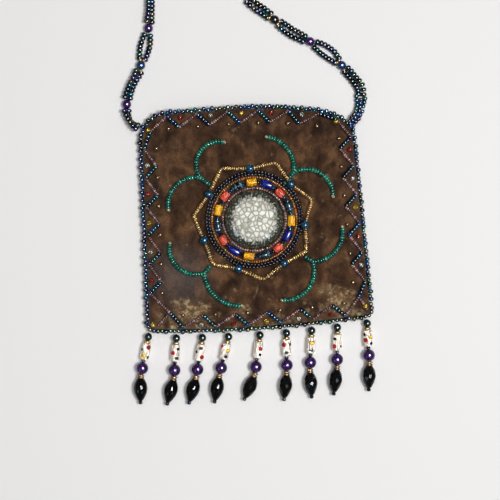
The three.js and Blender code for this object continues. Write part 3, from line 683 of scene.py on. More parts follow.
# %% Edge row
EDGE_BEAD = 2.05
EDGE_OUT = 1.0
EDGE_WEAVE = 0.27
SEAM = 3.5
EDGE_LIFT = 3.55
EDGE_TILT = (0.45, 0.25)
EDGE_WANDER = 0.12
STITCH_ROOM = 2.4
STITCH_WANDER = 0.03
BOTTOM_LINE = -49
LEFT_LINE = -30
LEFT_MIX = [NAVY, BLUE, NIGHT, VIOLET, NAVY, TEAL]
RIGHT_MIX = [TEAL, NAVY, SEA_GREEN, BRONZE, BLUE, VIOLET, NIGHT]
BOTTOM_MIX = [SEA_GREEN, NIGHT, BRONZE, NIGHT, NAVY, SEA_GREEN]

hinges = {joint["child"]: np.array(joint["pos_m"]) / MM for joint in frame["joints"]}
hinge_spots = np.array(list(hinges.values()))
edge_seed = seed(2.3, 2.2, 0.7, sides=10)
stitch_seed = seed(2.0, 1.8, 0.7, sides=10)


def edge_mix(spot):
    """The tints of the edge at a spot, and the share of green coats among them."""
    if spot[1] < BOTTOM_LINE:
        return BOTTOM_MIX, 0.8
    if spot[0] < LEFT_LINE:
        return LEFT_MIX, 0.2
    return RIGHT_MIX, 0.5


edge_row = new_bmesh()
edge_line = even_line(beside_edge(np.linspace(0, LAST_SHARE, 4000), EDGE_OUT), EDGE_BEAD)[:-1]
for number, (spot, heading) in enumerate(zip(edge_line, headings(edge_line, True))):
    level = SEAM + EDGE_LIFT * lip_at(spot)
    outward = np.array((-heading[1], heading[0], 0))
    shape, wander = stitch_seed, STITCH_WANDER
    if distances(hinge_spots[:, :2], spot).min() >= STITCH_ROOM:
        shape, wander = edge_seed, EDGE_WANDER
        spot = spot + EDGE_WEAVE * (-1) ** number * outward[:2]
        outward[2] = chance.normal(*EDGE_TILT)
    mix, green = edge_mix(spot)
    place = (*(spot + chance.normal(0, wander, 2)), level)
    tint = mixed(mix, 1)[0]
    placed(edge_row, shape, place, outward, tint, iris(green), chance.uniform(0, ANY_TURN))
finished("edge_row", edge_row, [blue_iris, green_iris], nodes=("edge_beading",))

# %% [markdown]
# ## Zigzag
# A zigzag runs round inside the edge, six outer points to a side. Walked clockwise, each leg that comes in
# from an outer point is a short line of thick blue and green seeds, and each leg that goes back out is a
# line of finer rose beads. The lower corners get one more leg, which runs into the corner. The outer points
# are spread evenly along each side, between the places where its first and its last point lie.

# %% Points of the zigzag
TEETH = 6
OUTER_INSET = 0.9
INNER_INSET = 7.0
VALLEY = 0.38
ACROSS, UP = 0, 1
SIDES = [
    (ACROSS, 1, 13.3 - TOP_HALF, TOP_HALF - 16),
    (UP, 1, MOUTH - 17.3, SIDE_FOOT + 16.8),
    (ACROSS, -1, BOTTOM_HALF - 12.3, 16.8 - BOTTOM_HALF),
    (UP, -1, SIDE_FOOT + 18.2, MOUTH - 16.4),
]
CORNER_POINTS = [(45.35, 46.8), (50, -42.2), (-44.6, -43.3), (-48.05, 47.6)]
CORNER_ENDS = [(54.2, -48.8), (-51, -49.6)]

tooth_shares = []
for axis, side, first, last in SIDES:
    start, end = edge_share(first, axis, side), edge_share(last, axis, side)
    tooth_shares.extend(np.linspace(start - 1 if start > end else start, end, TEETH))
tooth_shares = np.array(tooth_shares)
tooth_runs = np.append(tooth_shares[1:], tooth_shares[0] + 1) - tooth_shares
valley_shares = tooth_shares + VALLEY * tooth_runs
corner_valleys = np.arange(TEETH - 1, len(tooth_shares), TEETH)
outer_points = beside_edge(tooth_shares, -OUTER_INSET)
inner_points = beside_edge(valley_shares, -INNER_INSET)
inner_points[corner_valleys] = CORNER_POINTS

# %% [markdown]
# A leg is strung from one point to the next. Near the stitches of the drops a bead is sewn only where it
# leaves room for the pearl of a drop that is swung up to the front.

# %% Legs of the zigzag
THICK_SEED = 2.4
THICK_PITCH = 1.75
ROSE_SEED = 1.6
ROSE_PITCH = 1.12
PEARL_DROP = 3.325
PEARL_WIDTH = 4
ROSE = tone(110, 78, 76)
LILAC = tone(86, 60, 72)
PALE_ROSE = tone(162, 128, 124)
THICK_MIX = [NAVY, TEAL, NIGHT, SEA_GREEN, BLUE, NIGHT]
ROSE_MIX = [ROSE, LILAC, ROSE, PALE_ROSE]

thick_seed = seed(THICK_SEED, 1.65, 0.6)
rose_seed = seed(ROSE_SEED, 1.0, 0.4, sides=8)
rose_glass = bead_finish("rose_glass", 0.26, coat=0.06, gloss=0.2)
THICK_LEG = (thick_seed, THICK_SEED, THICK_PITCH, THICK_MIX, 0)
ROSE_LEG = (rose_seed, ROSE_SEED, ROSE_PITCH, ROSE_MIX, 1)
raised_pearls = hinge_spots + (0, 0, PEARL_DROP)
zigzag = new_bmesh()


def sew_leg(start, end, kind):
    """One leg of the zigzag between two points of the plan."""
    shape, width, pitch, mix, finish = kind
    leg = even_line([start, end], pitch)
    leg = on_cloth(leg[:-1] + (leg[1] - leg[0]) / 2, width)
    room = np.array([distances(raised_pearls, spot).min() for spot in leg])
    leg = leg[room > (PEARL_WIDTH + width) / 2]
    bead_row(zigzag, shape, leg, mixed(mix, len(leg)), finish, jitter=0.05)


for outer, inner, next_outer in zip(outer_points, inner_points, np.roll(outer_points, -1, axis=0)):
    sew_leg(outer, inner, THICK_LEG)
    sew_leg(inner, next_outer, ROSE_LEG)
for valley, corner_end in zip(corner_valleys[1:3], CORNER_ENDS):
    sew_leg(inner_points[valley], corner_end, ROSE_LEG)
finished("zigzag", zigzag, [blue_iris, rose_glass], nodes=("zigzag_beading",))

# %% [markdown]
# A larger bead of red, yellow or clear glass lies in every outer triangle of the zigzag, and a small gold
# bead lies inside every outer point. Both follow from the points of the zigzag.

# %% Accent beads
ACCENT_WIDTH = 2.3
ACCENT_INSET = 2.2
ACCENT_SHIFT = 0.06
SPARK_WIDTH = 1.9
SPARK_INSET = 7.2
RED = tone(138, 20, 26)
AMBER = tone(184, 152, 40)
CLEAR = tone(150, 155, 150)
DULL_GOLD = tone(98, 74, 36)

accent_bead = seed(ACCENT_WIDTH, 2.0, 0.7, sides=12)
spark_bead = seed(SPARK_WIDTH, 1.5, 0.6)
accent_spots = beside_edge(valley_shares + ACCENT_SHIFT * tooth_runs, -ACCENT_INSET)
spark_spots = beside_edge(tooth_shares, -SPARK_INSET)
accent_kinds = [
    (accent_bead, ACCENT_WIDTH, accent_spots, [RED, CLEAR, AMBER], 0.4, 0),
    (spark_bead, SPARK_WIDTH, spark_spots, [DULL_GOLD], 0.3, 1),
]
accents = new_bmesh()
for shape, width, spots, tints, rise, finish in accent_kinds:
    for number, spot in enumerate(on_cloth(spots, width)):
        lean = (chance.normal(0, 1), chance.normal(0, 1), rise)
        placed(accents, shape, spot, lean, tints[number % len(tints)], finish)
    sewn.extend(spots)
finished("accent_beads", accents, [seed_glass, gold_lined])

# %% [markdown]
# ## Medallion
# A glass dome is held by a ring of fine rose beads. Round it lies a ring of short tube beads with seeds
# between them, then a fine amber row and two rows of black seeds.

# %% Rows of the medallion
HEART = (0.7, 0.0)
BEZEL_REACH = 15.65
AMBER_REACH = 21.05
BLACK_REACHES = (22.5, 23.8)
COPPER = tone(178, 106, 54)
BLACK = tone(8, 9, 14)


def circle_line(reach, width, pitch):
    """Points round the medallion's centre for beads of a width."""
    count = round(2 * math.pi * reach / pitch)
    angle = (np.arange(count) + reach) * 2 * np.pi / count
    ring = np.stack([HEART[0] + reach * np.cos(angle), HEART[1] + reach * np.sin(angle)], axis=1)
    return np.concatenate([ring, np.full((count, 1), PUFF + width / 2 - SINK)], axis=1)


def ring_piece(name, shape, lines, tints, node, finish=seed_glass):
    """A piece of one or more closed rows round the medallion."""
    bm = new_bmesh()
    for line in lines:
        bead_row(bm, shape, line, mixed(tints, len(line)), closed=True, jitter=0.05)
    finished(name, bm, [finish], nodes=(node,))


dark_glass = bead_finish("dark_glass", 0.08, coat=0.08, gloss=0.16)
ring_piece("bezel_row", seed(1.3, 1.0, 0.4, sides=8), [circle_line(BEZEL_REACH, width=1.5, pitch=1.25)],
           [PALE_ROSE, PALE_ROSE, PALE_ROSE, ROSE], "bezel_beading")
ring_piece("amber_row", seed(1.15, 0.85, 0.35, sides=8), [circle_line(AMBER_REACH, width=1.2, pitch=1.15)],
           [COPPER, COPPER, GOLD], "amber_beading")
black_lines = [circle_line(reach, width=1.5, pitch=1.7) for reach in BLACK_REACHES]
ring_piece("black_rows", seed(1.5, 1.35, 0.45, sides=8), black_lines,
           [BLACK, BLACK, BLACK, BLACK, NAVY], "black_beading", dark_glass)

# %% [markdown]
# The tube beads are short drawn tubes of opaque yellow and coral glass and of clear cobalt. The dark teal
# ones are a tube between two discs, and the last of them is four discs. They lie end to end round the dome,
# each with a seed or two before the next.

# %% Tube beads
TUBE_REACH = 18.4
TUBE_WIDTH = 3.7
TEAL_WIDTH = 3.6
DARK_TEAL = tone(26, 62, 74)
STEEL = tone(60, 104, 132)
TEAL_MIX = [DARK_TEAL, STEEL, NIGHT]
LENGTHS = {"yellow": 5.2, "cobalt": 5.6, "coral": 4.6, "teal": 5.6}
TINTS = {"yellow": tone(250, 178, 22), "cobalt": tone(22, 36, 140), "coral": tone(226, 82, 60)}
FINISH_NUMBERS = {"yellow": 0, "cobalt": 1, "coral": 0}
TUBE_ORDER = ["yellow", "cobalt", "coral", "teal"] * 3 + ["yellow", "coral", "teal"]


def tube(width, length, hole, chamfer, sides=20):
    """A tube bead with softened ends."""
    wall, half = width / 2, length / 2
    section = [
        (hole / 2, -half), (wall - chamfer, -half), (wall - 0.3 * chamfer, -half + 0.3 * chamfer),
        (wall, -half + chamfer), (wall, half - chamfer), (wall - 0.3 * chamfer, half - 0.3 * chamfer),
        (wall - chamfer, half), (hole / 2, half),
    ]
    return turned_shape(section, sides)


enamel = bead_finish("enamel", 0.42, coat=0.0, mottle=0.05, grain=500, gloss=0.05)
drawn_glass = bead_finish("drawn_glass", 0.24, coat=0.0, gloss=0.12)
tubes = {kind: tube(TUBE_WIDTH, LENGTHS[kind], 1.2, 0.55) for kind in TINTS}
teal_disc = seed(TEAL_WIDTH, 1.4, 1.1, sides=16)
teal_heart = tube(TEAL_WIDTH, 2.8, 1.2, 0.3)
TEAL_PARTS = [(-2.1, teal_disc), (0, teal_heart), (2.1, teal_disc)]
LAST_TEAL_PARTS = [(along, teal_disc) for along in (-2.1, -0.7, 0.7, 2.1)]

# %% [markdown]
# The tubes are spaced evenly by angle, clockwise from the top. The seeds share the room that is left.

# %% Tube ring
TUBE_REST = 0.1
GAP_REST = 1.1
GAP_PITCH = 1.4
GAP_WANDER = 0.25
GAP_MIX = [NAVY, NIGHT, TEAL, VIOLET, NAVY]

gap_seed = seed(1.9, 1.3, 0.6)
step_angle = 2 * math.pi / len(TUBE_ORDER)
tube_ring = new_bmesh()


def ring_spot(angle, reach, rise):
    """A point of the tube ring, and the direction of the ring there."""
    outward = np.array((math.cos(angle), math.sin(angle), 0))
    around = np.array((-math.sin(angle), math.cos(angle), 0))
    return (HEART[0], HEART[1], PUFF + rise) + reach * outward, around


for number, kind in enumerate(TUBE_ORDER):
    angle = math.pi / 2 - number * step_angle
    spot, around = ring_spot(angle, TUBE_REACH, TUBE_WIDTH / 2 + TUBE_REST)
    if kind == "teal":
        for along, shape in TEAL_PARTS if number + 1 < len(TUBE_ORDER) else LAST_TEAL_PARTS:
            tint = mixed(TEAL_MIX, 1)[0] if shape is teal_disc else DARK_TEAL
            placed(tube_ring, shape, spot + along * around, around, tint, 1)
    else:
        placed(tube_ring, tubes[kind], spot, around, TINTS[kind], FINISH_NUMBERS[kind])
    half = LENGTHS[kind] / 2
    next_half = LENGTHS[TUBE_ORDER[(number + 1) % len(TUBE_ORDER)]] / 2
    free = step_angle * TUBE_REACH - half - next_half
    seeds = max(1, round(free / GAP_PITCH))
    for place in range(seeds):
        turn = angle - (half + free * (place + 0.5) / seeds) / TUBE_REACH
        spot, around = ring_spot(turn, TUBE_REACH + chance.normal(0, GAP_WANDER), GAP_REST)
        placed(tube_ring, gap_seed, spot, around, mixed(GAP_MIX, 1)[0], 2)
finished("tube_ring", tube_ring, [enamel, drawn_glass, blue_iris], nodes=("tube_bead_ring",),
         sharp=50)

# %% [markdown]
# ## Cabochon
# The dome is ground from a round of glass: a flat foot, a short upright edge and an even curve over the
# top. Half of its outline is turned about the middle.

# %% Dome
CABOCHON_WIDTH = 29.5
CABOCHON_EDGE = 1.6
CABOCHON_HEIGHT = 7.5
CABOCHON_REST = 0.3
FOOT_BEVEL = 0.3

dome_half = CABOCHON_WIDTH / 2
dome_rise = CABOCHON_HEIGHT - CABOCHON_EDGE
dome_section = [(0.0, 0.0), (dome_half - FOOT_BEVEL, 0.0), (dome_half, FOOT_BEVEL)] + [
    (dome_half * math.cos(turn), CABOCHON_EDGE + dome_rise * math.sin(turn))
    for turn in np.linspace(0, np.pi / 2, 18)
]
dome = bmesh.new()
dome.from_mesh(turned_shape(dome_section, 72, closed=False))
bmesh.ops.translate(dome, vec=Vector((*HEART, PUFF + CABOCHON_REST)) * MM, verts=dome.verts)

# %% [markdown]
# The glass is clear over a pale crackled core. Towards its rim the core breaks up into dark green specks.
# The cells are a Voronoi pattern in the glass: the distance to their borders gives the cracks, each has a
# shade of its own, and a finer pattern gives the specks. A clear coat over the dome carries the reflections.

# %% Ramps and blends of colour


def ramp(material, share, stops):
    """A colour that follows a share through (place, colour) stops."""
    colour = wire(material, "ValToRGB", "Color", {"Fac": share})
    elements = colour.node.color_ramp.elements
    while len(elements) < len(stops):
        elements.new(0.5)
    for element, (place, tint) in zip(elements, stops):
        element.position = place
        element.color = tint
    return colour


def grey(share):
    """A grey by its share of light."""
    return (share, share, share, 1)


def blend(material, share, first, second):
    """A colour that goes from first to second by a share."""
    return wire(material, "Mix", 2, {"Factor": share, 6: first, 7: second}, data_type="RGBA")


# %% Crackled glass
CORE_REACH = 11.3
RIM_RUN = 2.9
RAGGED_RIM = 3.2
CELL_SCALE = 430
SPECK_SCALE = 1050

crackle, dome_shader = new_finish("crackle_glass")
from_heart = wire(crackle, "Mapping", "Vector", {
    "Vector": wire(crackle, "TexCoord", "Object", {}),
    "Location": (-HEART[0] * MM, -HEART[1] * MM, 0),
    "Scale": (1, 1, 0),
})


def cells(scale, feature):
    """Cells across the dome, by the distance to their middle or to their border."""
    return wire(crackle, "TexVoronoi", "Distance", {"Vector": from_heart, "Scale": scale}, feature=feature)


borders = cells(CELL_SCALE, "DISTANCE_TO_EDGE")
flakes = cells(CELL_SCALE, "F1")
specks = cells(SPECK_SCALE, "F1")
crack_tone = ramp(crackle, borders, [
    (0.0, tone(146, 145, 130)), (0.1, tone(212, 210, 196)), (0.2, tone(252, 250, 242)),
    (0.34, tone(255, 254, 250)),
])
flake_share = wire(crackle, "SeparateColor", "Red", {"Color": flakes.node.outputs["Color"]})
flake_shade = ramp(crackle, flake_share, [(0.0, (0.74, 0.74, 0.7, 1)), (0.5, grey(1))])
core_tone = wire(crackle, "VectorMath", "Vector", {0: crack_tone, 1: flake_shade}, operation="MULTIPLY")
speck_tone = ramp(crackle, specks, [
    (0.0, tone(190, 196, 172)), (0.22, tone(108, 114, 84)), (0.42, tone(27, 33, 20)),
])
reach = wire(crackle, "VectorMath", "Value", {0: from_heart}, operation="LENGTH")
ragged = wire(crackle, "Math", "Value", {0: specks, 1: RAGGED_RIM * MM, 2: reach}, operation="MULTIPLY_ADD")
to_rim = wire(crackle, "MapRange", "Result", {
    "Value": ragged, "From Min": CORE_REACH * MM, "From Max": (CORE_REACH + RIM_RUN) * MM,
}, interpolation_type="SMOOTHSTEP")
facets = {"Strength": 0.35, "Distance": 0.5 * MM, "Height": flakes}
feed(dome_shader, {
    "Base Color": blend(crackle, to_rim, core_tone, speck_tone),
    "Normal": wire(crackle, "Bump", "Normal", facets, invert=True),
    "Roughness": 0.3,
    "Coat Weight": 1.0,
    "Coat Roughness": 0.02,
})
finished("cabochon_dome", dome, [crackle], nodes=("cabochon",), sharp=60)

# %% [markdown]
# ## Star
# A rope of fine gold beads goes round the medallion in seven points, with a round blue bead in each valley.
# Each valley has its angle and how far it is tucked in over the black rows.

# %% Star
VALLEYS = [
    (90.8, 1.2), (39.8, 1.2), (-10.5, 1.2), (-59.7, 0), (-111.8, 0.7), (-161.3, -0.6), (-212.7, 0.6),
]
CLEAR_REACH = 26.5
POINT_REACH = 30.3
VALLEY_REST = 0.3
STAR_SEED = 2.1
STAR_PITCH = 1.12
ROPE_GOLD = tone(146, 112, 56)
PALE_GOLD = tone(176, 142, 82)
DARK_ROPE = tone(122, 91, 44)
ROPE_MIX = [ROPE_GOLD, PALE_GOLD, DARK_ROPE, ROPE_GOLD]


def polar(reach, degrees, level=0.0):
    """A point round the medallion's centre."""
    angle = math.radians(degrees)
    return np.array((HEART[0] + reach * math.cos(angle), HEART[1] + reach * math.sin(angle), level))


corners = []
for (angle, tuck), (next_angle, _) in zip(VALLEYS, VALLEYS[1:] + [(VALLEYS[0][0] - 360, 0)]):
    corners.append(polar(CLEAR_REACH - tuck, angle, max(0, tuck) + VALLEY_REST))
    corners.append(polar(POINT_REACH, (angle + next_angle) / 2))
star_line = even_line(corners + corners[:1], STAR_PITCH)[:-1]
star_line = (2 * star_line + np.roll(star_line, 1, axis=0) + np.roll(star_line, -1, axis=0)) / 4
star_row = on_cloth(star_line[:, :2], STAR_SEED)
star_row[:, 2] += star_line[:, 2]
star_seed = seed(STAR_SEED, 1.02, 0.4, sides=10)
rope_gold = bead_finish("rope_gold", 0.4, metallic=0.15, coat=0.08, gloss=0.25)
star = new_bmesh()
bead_row(star, star_seed, star_row, mixed(ROPE_MIX, len(star_row)), closed=True, jitter=0.06)
finished("star_row", star, [rope_gold], nodes=("star_beading",))

# %% Star beads
STAR_BEAD = 4.2
STAR_BLUE = tone(20, 66, 94)

star_ball = ball(STAR_BEAD)
star_glass = bead_finish("star_glass", 0.24, coat=0.0, gloss=0.16)
for number in range(1, len(VALLEYS) + 1):
    solid = "star_bead_%d" % number
    low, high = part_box(solid)
    bm = new_bmesh()
    placed(bm, star_ball, (low + high) / 2 / MM, (0, 0, 1), STAR_BLUE)
    finished("star_ball_%d" % number, bm, [star_glass], nodes=(solid,))

# %% [markdown]
# ## Vines
# Each corner of the front has a vine: two arcs that spring from one fork, and a stem towards the medallion.
# The beads are flat green discs threaded close together, with one pale bead at each tip. A vine is given by
# its fork and by the heading and the tip of both arms.

# %% Vines
VINE_BEAD = 1.9
VINE_PITCH = 1.36
STEM_START = 1.3
STEM_END = 8
STAR_ROOM = 1.7
VINE_JITTER = 0.04
VINES = [
    ((-24.5, 22.5), (165, (-41.5, 7.6)), (122, (-11.5, 39.4))),
    ((21.9, 21.9), (25, (40.6, 8.7)), (78, (9.6, 40.5))),
    ((-26, -24.9), (194, (-42.1, -8.8)), (-90, (-8.5, -42.4))),
    ((28.2, -23), (-4, (44.2, -6.7)), (-75, (11.7, -41.1))),
]
LEAF = tone(16, 98, 82)
MINT = tone(38, 122, 98)
DEEP_LEAF = tone(12, 78, 72)
TIP = tone(150, 146, 116)
ARM_MIX = [LEAF, LEAF, DEEP_LEAF, MINT]

vine_seed = seed(2.5, 1.4, 0.6)
vine_glass = bead_finish("vine_glass", 0.16, coat=0.05, gloss=0.18)


def arc_line(fork, heading, tip):
    """An arc that leaves a fork at a heading and ends at its tip."""
    chord = np.array(tip) - fork
    heading = math.radians(heading)
    turn = (math.atan2(chord[1], chord[0]) - heading + math.pi) % (2 * math.pi) - math.pi
    share = np.linspace(0.001, 1, 40)
    reach = np.linalg.norm(chord) * np.sin(turn * share) / math.sin(turn)
    angle = heading + turn * share
    return fork + np.stack([reach * np.cos(angle), reach * np.sin(angle)], axis=1)


for number, (fork, *arms) in enumerate(VINES, 1):
    vine = new_bmesh()
    fork = np.array(fork)
    for heading, tip in arms:
        arm = on_cloth(even_line(arc_line(fork, heading, tip), VINE_PITCH), VINE_BEAD)
        bead_row(vine, vine_seed, arm, mixed(ARM_MIX, len(arm) - 1), jitter=VINE_JITTER)
        placed(vine, spark_bead, arm[-1], (1, 1, 0), TIP)
    inward = (HEART - fork) / np.linalg.norm(HEART - fork)
    stem = fork + np.arange(STEM_START, STEM_END, VINE_PITCH)[:, None] * inward
    stem = [spot for spot in stem if distances(star_line[:, :2], spot).min() > STAR_ROOM]
    if len(stem) > 1:
        stem = on_cloth(stem, VINE_BEAD)
        bead_row(vine, vine_seed, stem, mixed([LEAF, DEEP_LEAF], len(stem)), jitter=VINE_JITTER)
    elif stem:
        placed(vine, vine_seed, on_cloth(stem, VINE_BEAD)[0], (*inward, 0), LEAF)
    finished("vine_row_%d" % number, vine, [vine_glass], nodes=("vine_%d" % number,))

# %% [markdown]
# ## Drops
# Nine drops hang from the bottom edge. Each is one thread through a dark pearl, a gold seed, a white tube
# with painted dots, a dark seed, a purple pearl, two gold seeds, a black glass drop and an end seed. The
# black drops are smooth ovals on the left and cut with facets on the right. A drop of glass is made as
# rings of corners, each turned half a flat from the last, under one skin with softened edges.

# %% Black glass drops
JET_WIDTH = 7.0
JET_LENGTH = 11.6
CUT_RINGS = [(0, 0.42), (0.2, 0.86), (0.47, 1.07), (0.75, 0.82), (1, 0.36)]
OVAL_RINGS = [(0, 0.4), (0.1, 0.64), (0.27, 0.92), (0.46, 1), (0.66, 0.9), (0.85, 0.6), (1, 0.3)]


def jet_drop(rings, corners, softness):
    """A glass drop from rings of (place along it, share of its width)."""
    bm = bmesh.new()
    for number, (place, across) in enumerate(rings):
        turn = Matrix.Rotation(math.pi / corners * (number % 2), 4, "Z")
        level = Matrix.Translation((0, 0, (0.5 - place) * JET_LENGTH * MM))
        radius = across * JET_WIDTH / 2 * MM
        bmesh.ops.create_circle(bm, segments=corners, radius=radius, matrix=level @ turn)
    bmesh.ops.convex_hull(bm, input=bm.verts)
    bmesh.ops.dissolve_limit(bm, angle_limit=math.radians(1), verts=bm.verts, edges=bm.edges)
    bmesh.ops.bevel(bm, geom=bm.edges[:], offset=softness * MM, offset_type="OFFSET", segments=1,
                    profile=0.5, affect="EDGES", material=-1)
    bmesh.ops.recalc_face_normals(bm, faces=bm.faces)
    return mesh_of(bm)


cut_jet = jet_drop(CUT_RINGS, 6, 0.4)
oval_jet = jet_drop(OVAL_RINGS, 12, 0.1)
cut_glass = bead_finish("cut_glass", 0.1, coat=0.0, mottle=0.3, gloss=0.24)
jet_glass = bead_finish("jet_glass", 0.05, coat=0.0, mottle=0.3, gloss=0.2)

# %% [markdown]
# The other beads of a drop are shared by all nine. Its thread is two straight lengths, because it bends a
# little below the purple pearl.

# %% Beads of a drop
BEND = 23.475
THREAD_START = 1.1
THREAD_END = 36.5
THREAD_SIDE = 0.35
THREAD_HOLE = 0.02

top_pearl = ball(PEARL_WIDTH)
collar_seed = seed(3.4, 1.5, 0.9, sides=12)
painted_tube = tube(4.3, 8.2, 1.5, 0.6, sides=24)
low_seed = seed(2.2, 1.2, 0.8, sides=10)
purple_ball = ball(6.2, 28)
spacer_seed = seed(3.5, 1.1, 1.0, sides=12)
end_seed = seed(2.1, 1.7, 0.7, sides=10)


def thread(length):
    """A straight length of thread."""
    half = length / 2
    section = [(THREAD_HOLE, -half), (THREAD_SIDE, -half), (THREAD_SIDE, half), (THREAD_HOLE, half)]
    return turned_shape(section, 6)


upper_thread = thread(BEND - THREAD_START)
lower_thread = thread(THREAD_END - BEND)

# %% [markdown]
# The dots are blobs of enamel on the white tube. Each is a flattened ball pressed into its side, so it
# stands a little proud. A dot has its tint, its angle round the tube and its place along it.

# %% Painted dots
DOT_REACH = 1.35
DARK_DOT_REACH = 1.0
DOT_LEVEL = 1.98
DOT_LENGTH = 0.9
DOT_HEIGHT = 0.3
DOT_RED = tone(190, 40, 44)
DOT_YELLOW = tone(226, 186, 52)
DOT_DARK = tone(18, 18, 28)
DOT_NAVY = tone(20, 28, 64)
DOTS = [
    [(DOT_RED, 40, 2.4), (DOT_YELLOW, -10, -2.2), (DOT_DARK, -65, 0.8), (DOT_DARK, 65, -2.6)],
    [(DOT_DARK, 40, 2.2), (DOT_RED, -35, 0.2), (DOT_DARK, 25, -2.4)],
    [(DOT_DARK, 5, 2.3), (DOT_DARK, -60, 0.2), (DOT_RED, 40, -2.0)],
    [(DOT_YELLOW, 40, 0.6), (DOT_NAVY, 30, -2.5), (DOT_RED, -70, 2.0)],
    [(DOT_RED, 35, 0.8), (DOT_DARK, 40, -2.2)],
    [(DOT_RED, -40, 1.7), (DOT_DARK, 65, 1.9), (DOT_NAVY, 0, -2.2)],
    [(DOT_YELLOW, 5, 1.5), (DOT_NAVY, 5, -2.2)],
    [(DOT_DARK, -40, 1.9), (DOT_RED, -45, -1.9), (DOT_DARK, 65, -2.0)],
    [(DOT_DARK, -60, 2.0), (DOT_YELLOW, 40, 0.6), (DOT_RED, -40, -0.8), (DOT_NAVY, 45, -2.5)],
]


def paint_dot(bm, center, down, tint, around, along):
    """A blob of enamel on the side of a tube that hangs down from its center."""
    down = Vector(down)
    side = Vector((0, 0, math.cos(math.radians(around))))
    side += Vector((-down.y, down.x, 0)) * math.sin(math.radians(around))
    spot = Vector(center) - along * down + DOT_LEVEL * side
    reach = DARK_DOT_REACH if tint in (DOT_DARK, DOT_NAVY) else DOT_REACH
    flat = Matrix.Diagonal((reach, DOT_LENGTH * reach, DOT_HEIGHT * reach, 1))
    turn = Matrix((side.cross(down), down, side)).transposed().to_4x4()
    fresh = bmesh.ops.create_uvsphere(bm, u_segments=12, v_segments=8, radius=MM)["verts"]
    bmesh.ops.transform(bm, matrix=Matrix.Translation(spot * MM) @ turn @ flat, verts=fresh)
    stained(bm, fresh, tint)


# %% [markdown]
# Every drop rides its own body, so that it swings from its stitch. It has two leans from the vertical, one
# above and one below its bend. Distances are measured down the thread from the stitch.

# %% Drops
LEANS = [
    (-15, -4), (-7.5, -18.5), (-13, -19.5), (-17.5, -14), (-11.5, -27), (-3.5, -10), (-6.5, 0), (-4.5, -11),
    (-1, -5),
]
COLLAR_DROP = 5.925
TUBE_DROP = 10.775
LOW_SEED_DROP = 15.625
PURPLE_DROP = 19.325
SPACER_DROPS = (22.98, 24.05)
JET_DROP = 29.975
END_DROP = 36.6
SMOOTH_JETS = 4
JET_TURN = 8.7
JET_TURN_SPREAD = 3
PEARL_DARK = tone(12, 34, 30)
WHITE = tone(250, 240, 226)
BROWN_GOLD = tone(104, 72, 36)
JET = tone(3, 3, 5)
THREAD_TINT = tone(60, 48, 40)
LOW_SEEDS = [BRONZE, NIGHT, TEAL, NIGHT, BRONZE, NIGHT, NIGHT, BLUE, NIGHT]
END_MIX = [NIGHT, BRONZE, NIGHT]


def hang_drop(number, lean, tip_lean, dots, low_tint):
    """Strings one drop and hangs it on its own body."""
    body = "drop_%d" % number
    upper = np.array((math.sin(lean), -math.cos(lean), 0))
    lower = np.array((math.sin(tip_lean), -math.cos(tip_lean), 0))

    def down(distance):
        """The point of the thread at a distance below the stitch."""
        return hinges[body] + min(distance, BEND) * upper + max(0, distance - BEND) * lower

    def drop_piece(name, bm, finishes, solid, sharp=None):
        """A piece of this drop that takes the place of one of its solids."""
        finished(body + name, bm, finishes, body, (body + solid,), sharp)

    beads = [
        (top_pearl, PEARL_DROP, PEARL_DARK, 0), (collar_seed, COLLAR_DROP, GOLD, 1),
        (low_seed, LOW_SEED_DROP, low_tint, 2), (spacer_seed, SPACER_DROPS[0], GOLD, 1),
        (spacer_seed, SPACER_DROPS[1], BROWN_GOLD, 1), (end_seed, END_DROP, mixed(END_MIX, 1)[0], 2),
        (upper_thread, (THREAD_START + BEND) / 2, THREAD_TINT, 3),
        (lower_thread, (BEND + THREAD_END) / 2, THREAD_TINT, 3),
    ]
    string = new_bmesh()
    for shape, distance, tint, finish in beads:
        placed(string, shape, down(distance), upper if distance < BEND else lower, tint, finish)
    string_finishes = [pearl_skin, gold_lined, blue_iris, thread_finish]
    drop_piece("_beads", string, string_finishes, "_string")

    white = new_bmesh()
    placed(white, painted_tube, down(TUBE_DROP), upper, WHITE)
    for dot in dots:
        paint_dot(white, down(TUBE_DROP), upper, *dot)
    drop_piece("_painted_tube", white, [enamel], "_tube", 40)

    purple = new_bmesh()
    placed(purple, purple_ball, down(PURPLE_DROP), upper, PURPLE)
    drop_piece("_purple", purple, [pearl_skin], "_pearl")

    shape, finish, sharp = (oval_jet, jet_glass, None) if number <= SMOOTH_JETS else (cut_jet, cut_glass, 5)
    turn = math.radians(JET_TURN + chance.uniform(-JET_TURN_SPREAD, JET_TURN_SPREAD)) + tip_lean
    jet = new_bmesh()
    placed(jet, shape, down(JET_DROP), -lower, JET, 0, turn)
    drop_piece("_jet", jet, [finish], "_bicone", sharp)


for number, ((lean, tip_lean), dots, low_tint) in enumerate(zip(LEANS, DOTS, LOW_SEEDS), 1):
    hang_drop(number, math.radians(lean), math.radians(tip_lean), dots, low_tint)

# %% [markdown]
# ## Cloth
# The panels come last because the cloth sinks where beads are sewn to it. Each panel is a grid wrapped
# round the outline, from its middle to its edge, set to its height and given a solid thickness by a
# modifier. The front has soft creases and a dimple at every stitch. The back lies flat and turns up to the
# seam at its edge.

# %% Cloth panels
CLOTH = 1.2
DIMPLE = 0.7
DIMPLE_REACH = 1.9
CREASE = 0.5
CREASE_FADE = 12
WIDE_CREASE = 9
FINE_CREASE = 3
FINE_SHARE = 0.4
BACK_TURN_UP = 2.15
BACK_FLAT = 0.89

stitches = KDTree(len(sewn))
for number, spot in enumerate(sewn):
    stitches.insert((*spot, 0), number)
stitches.balance()


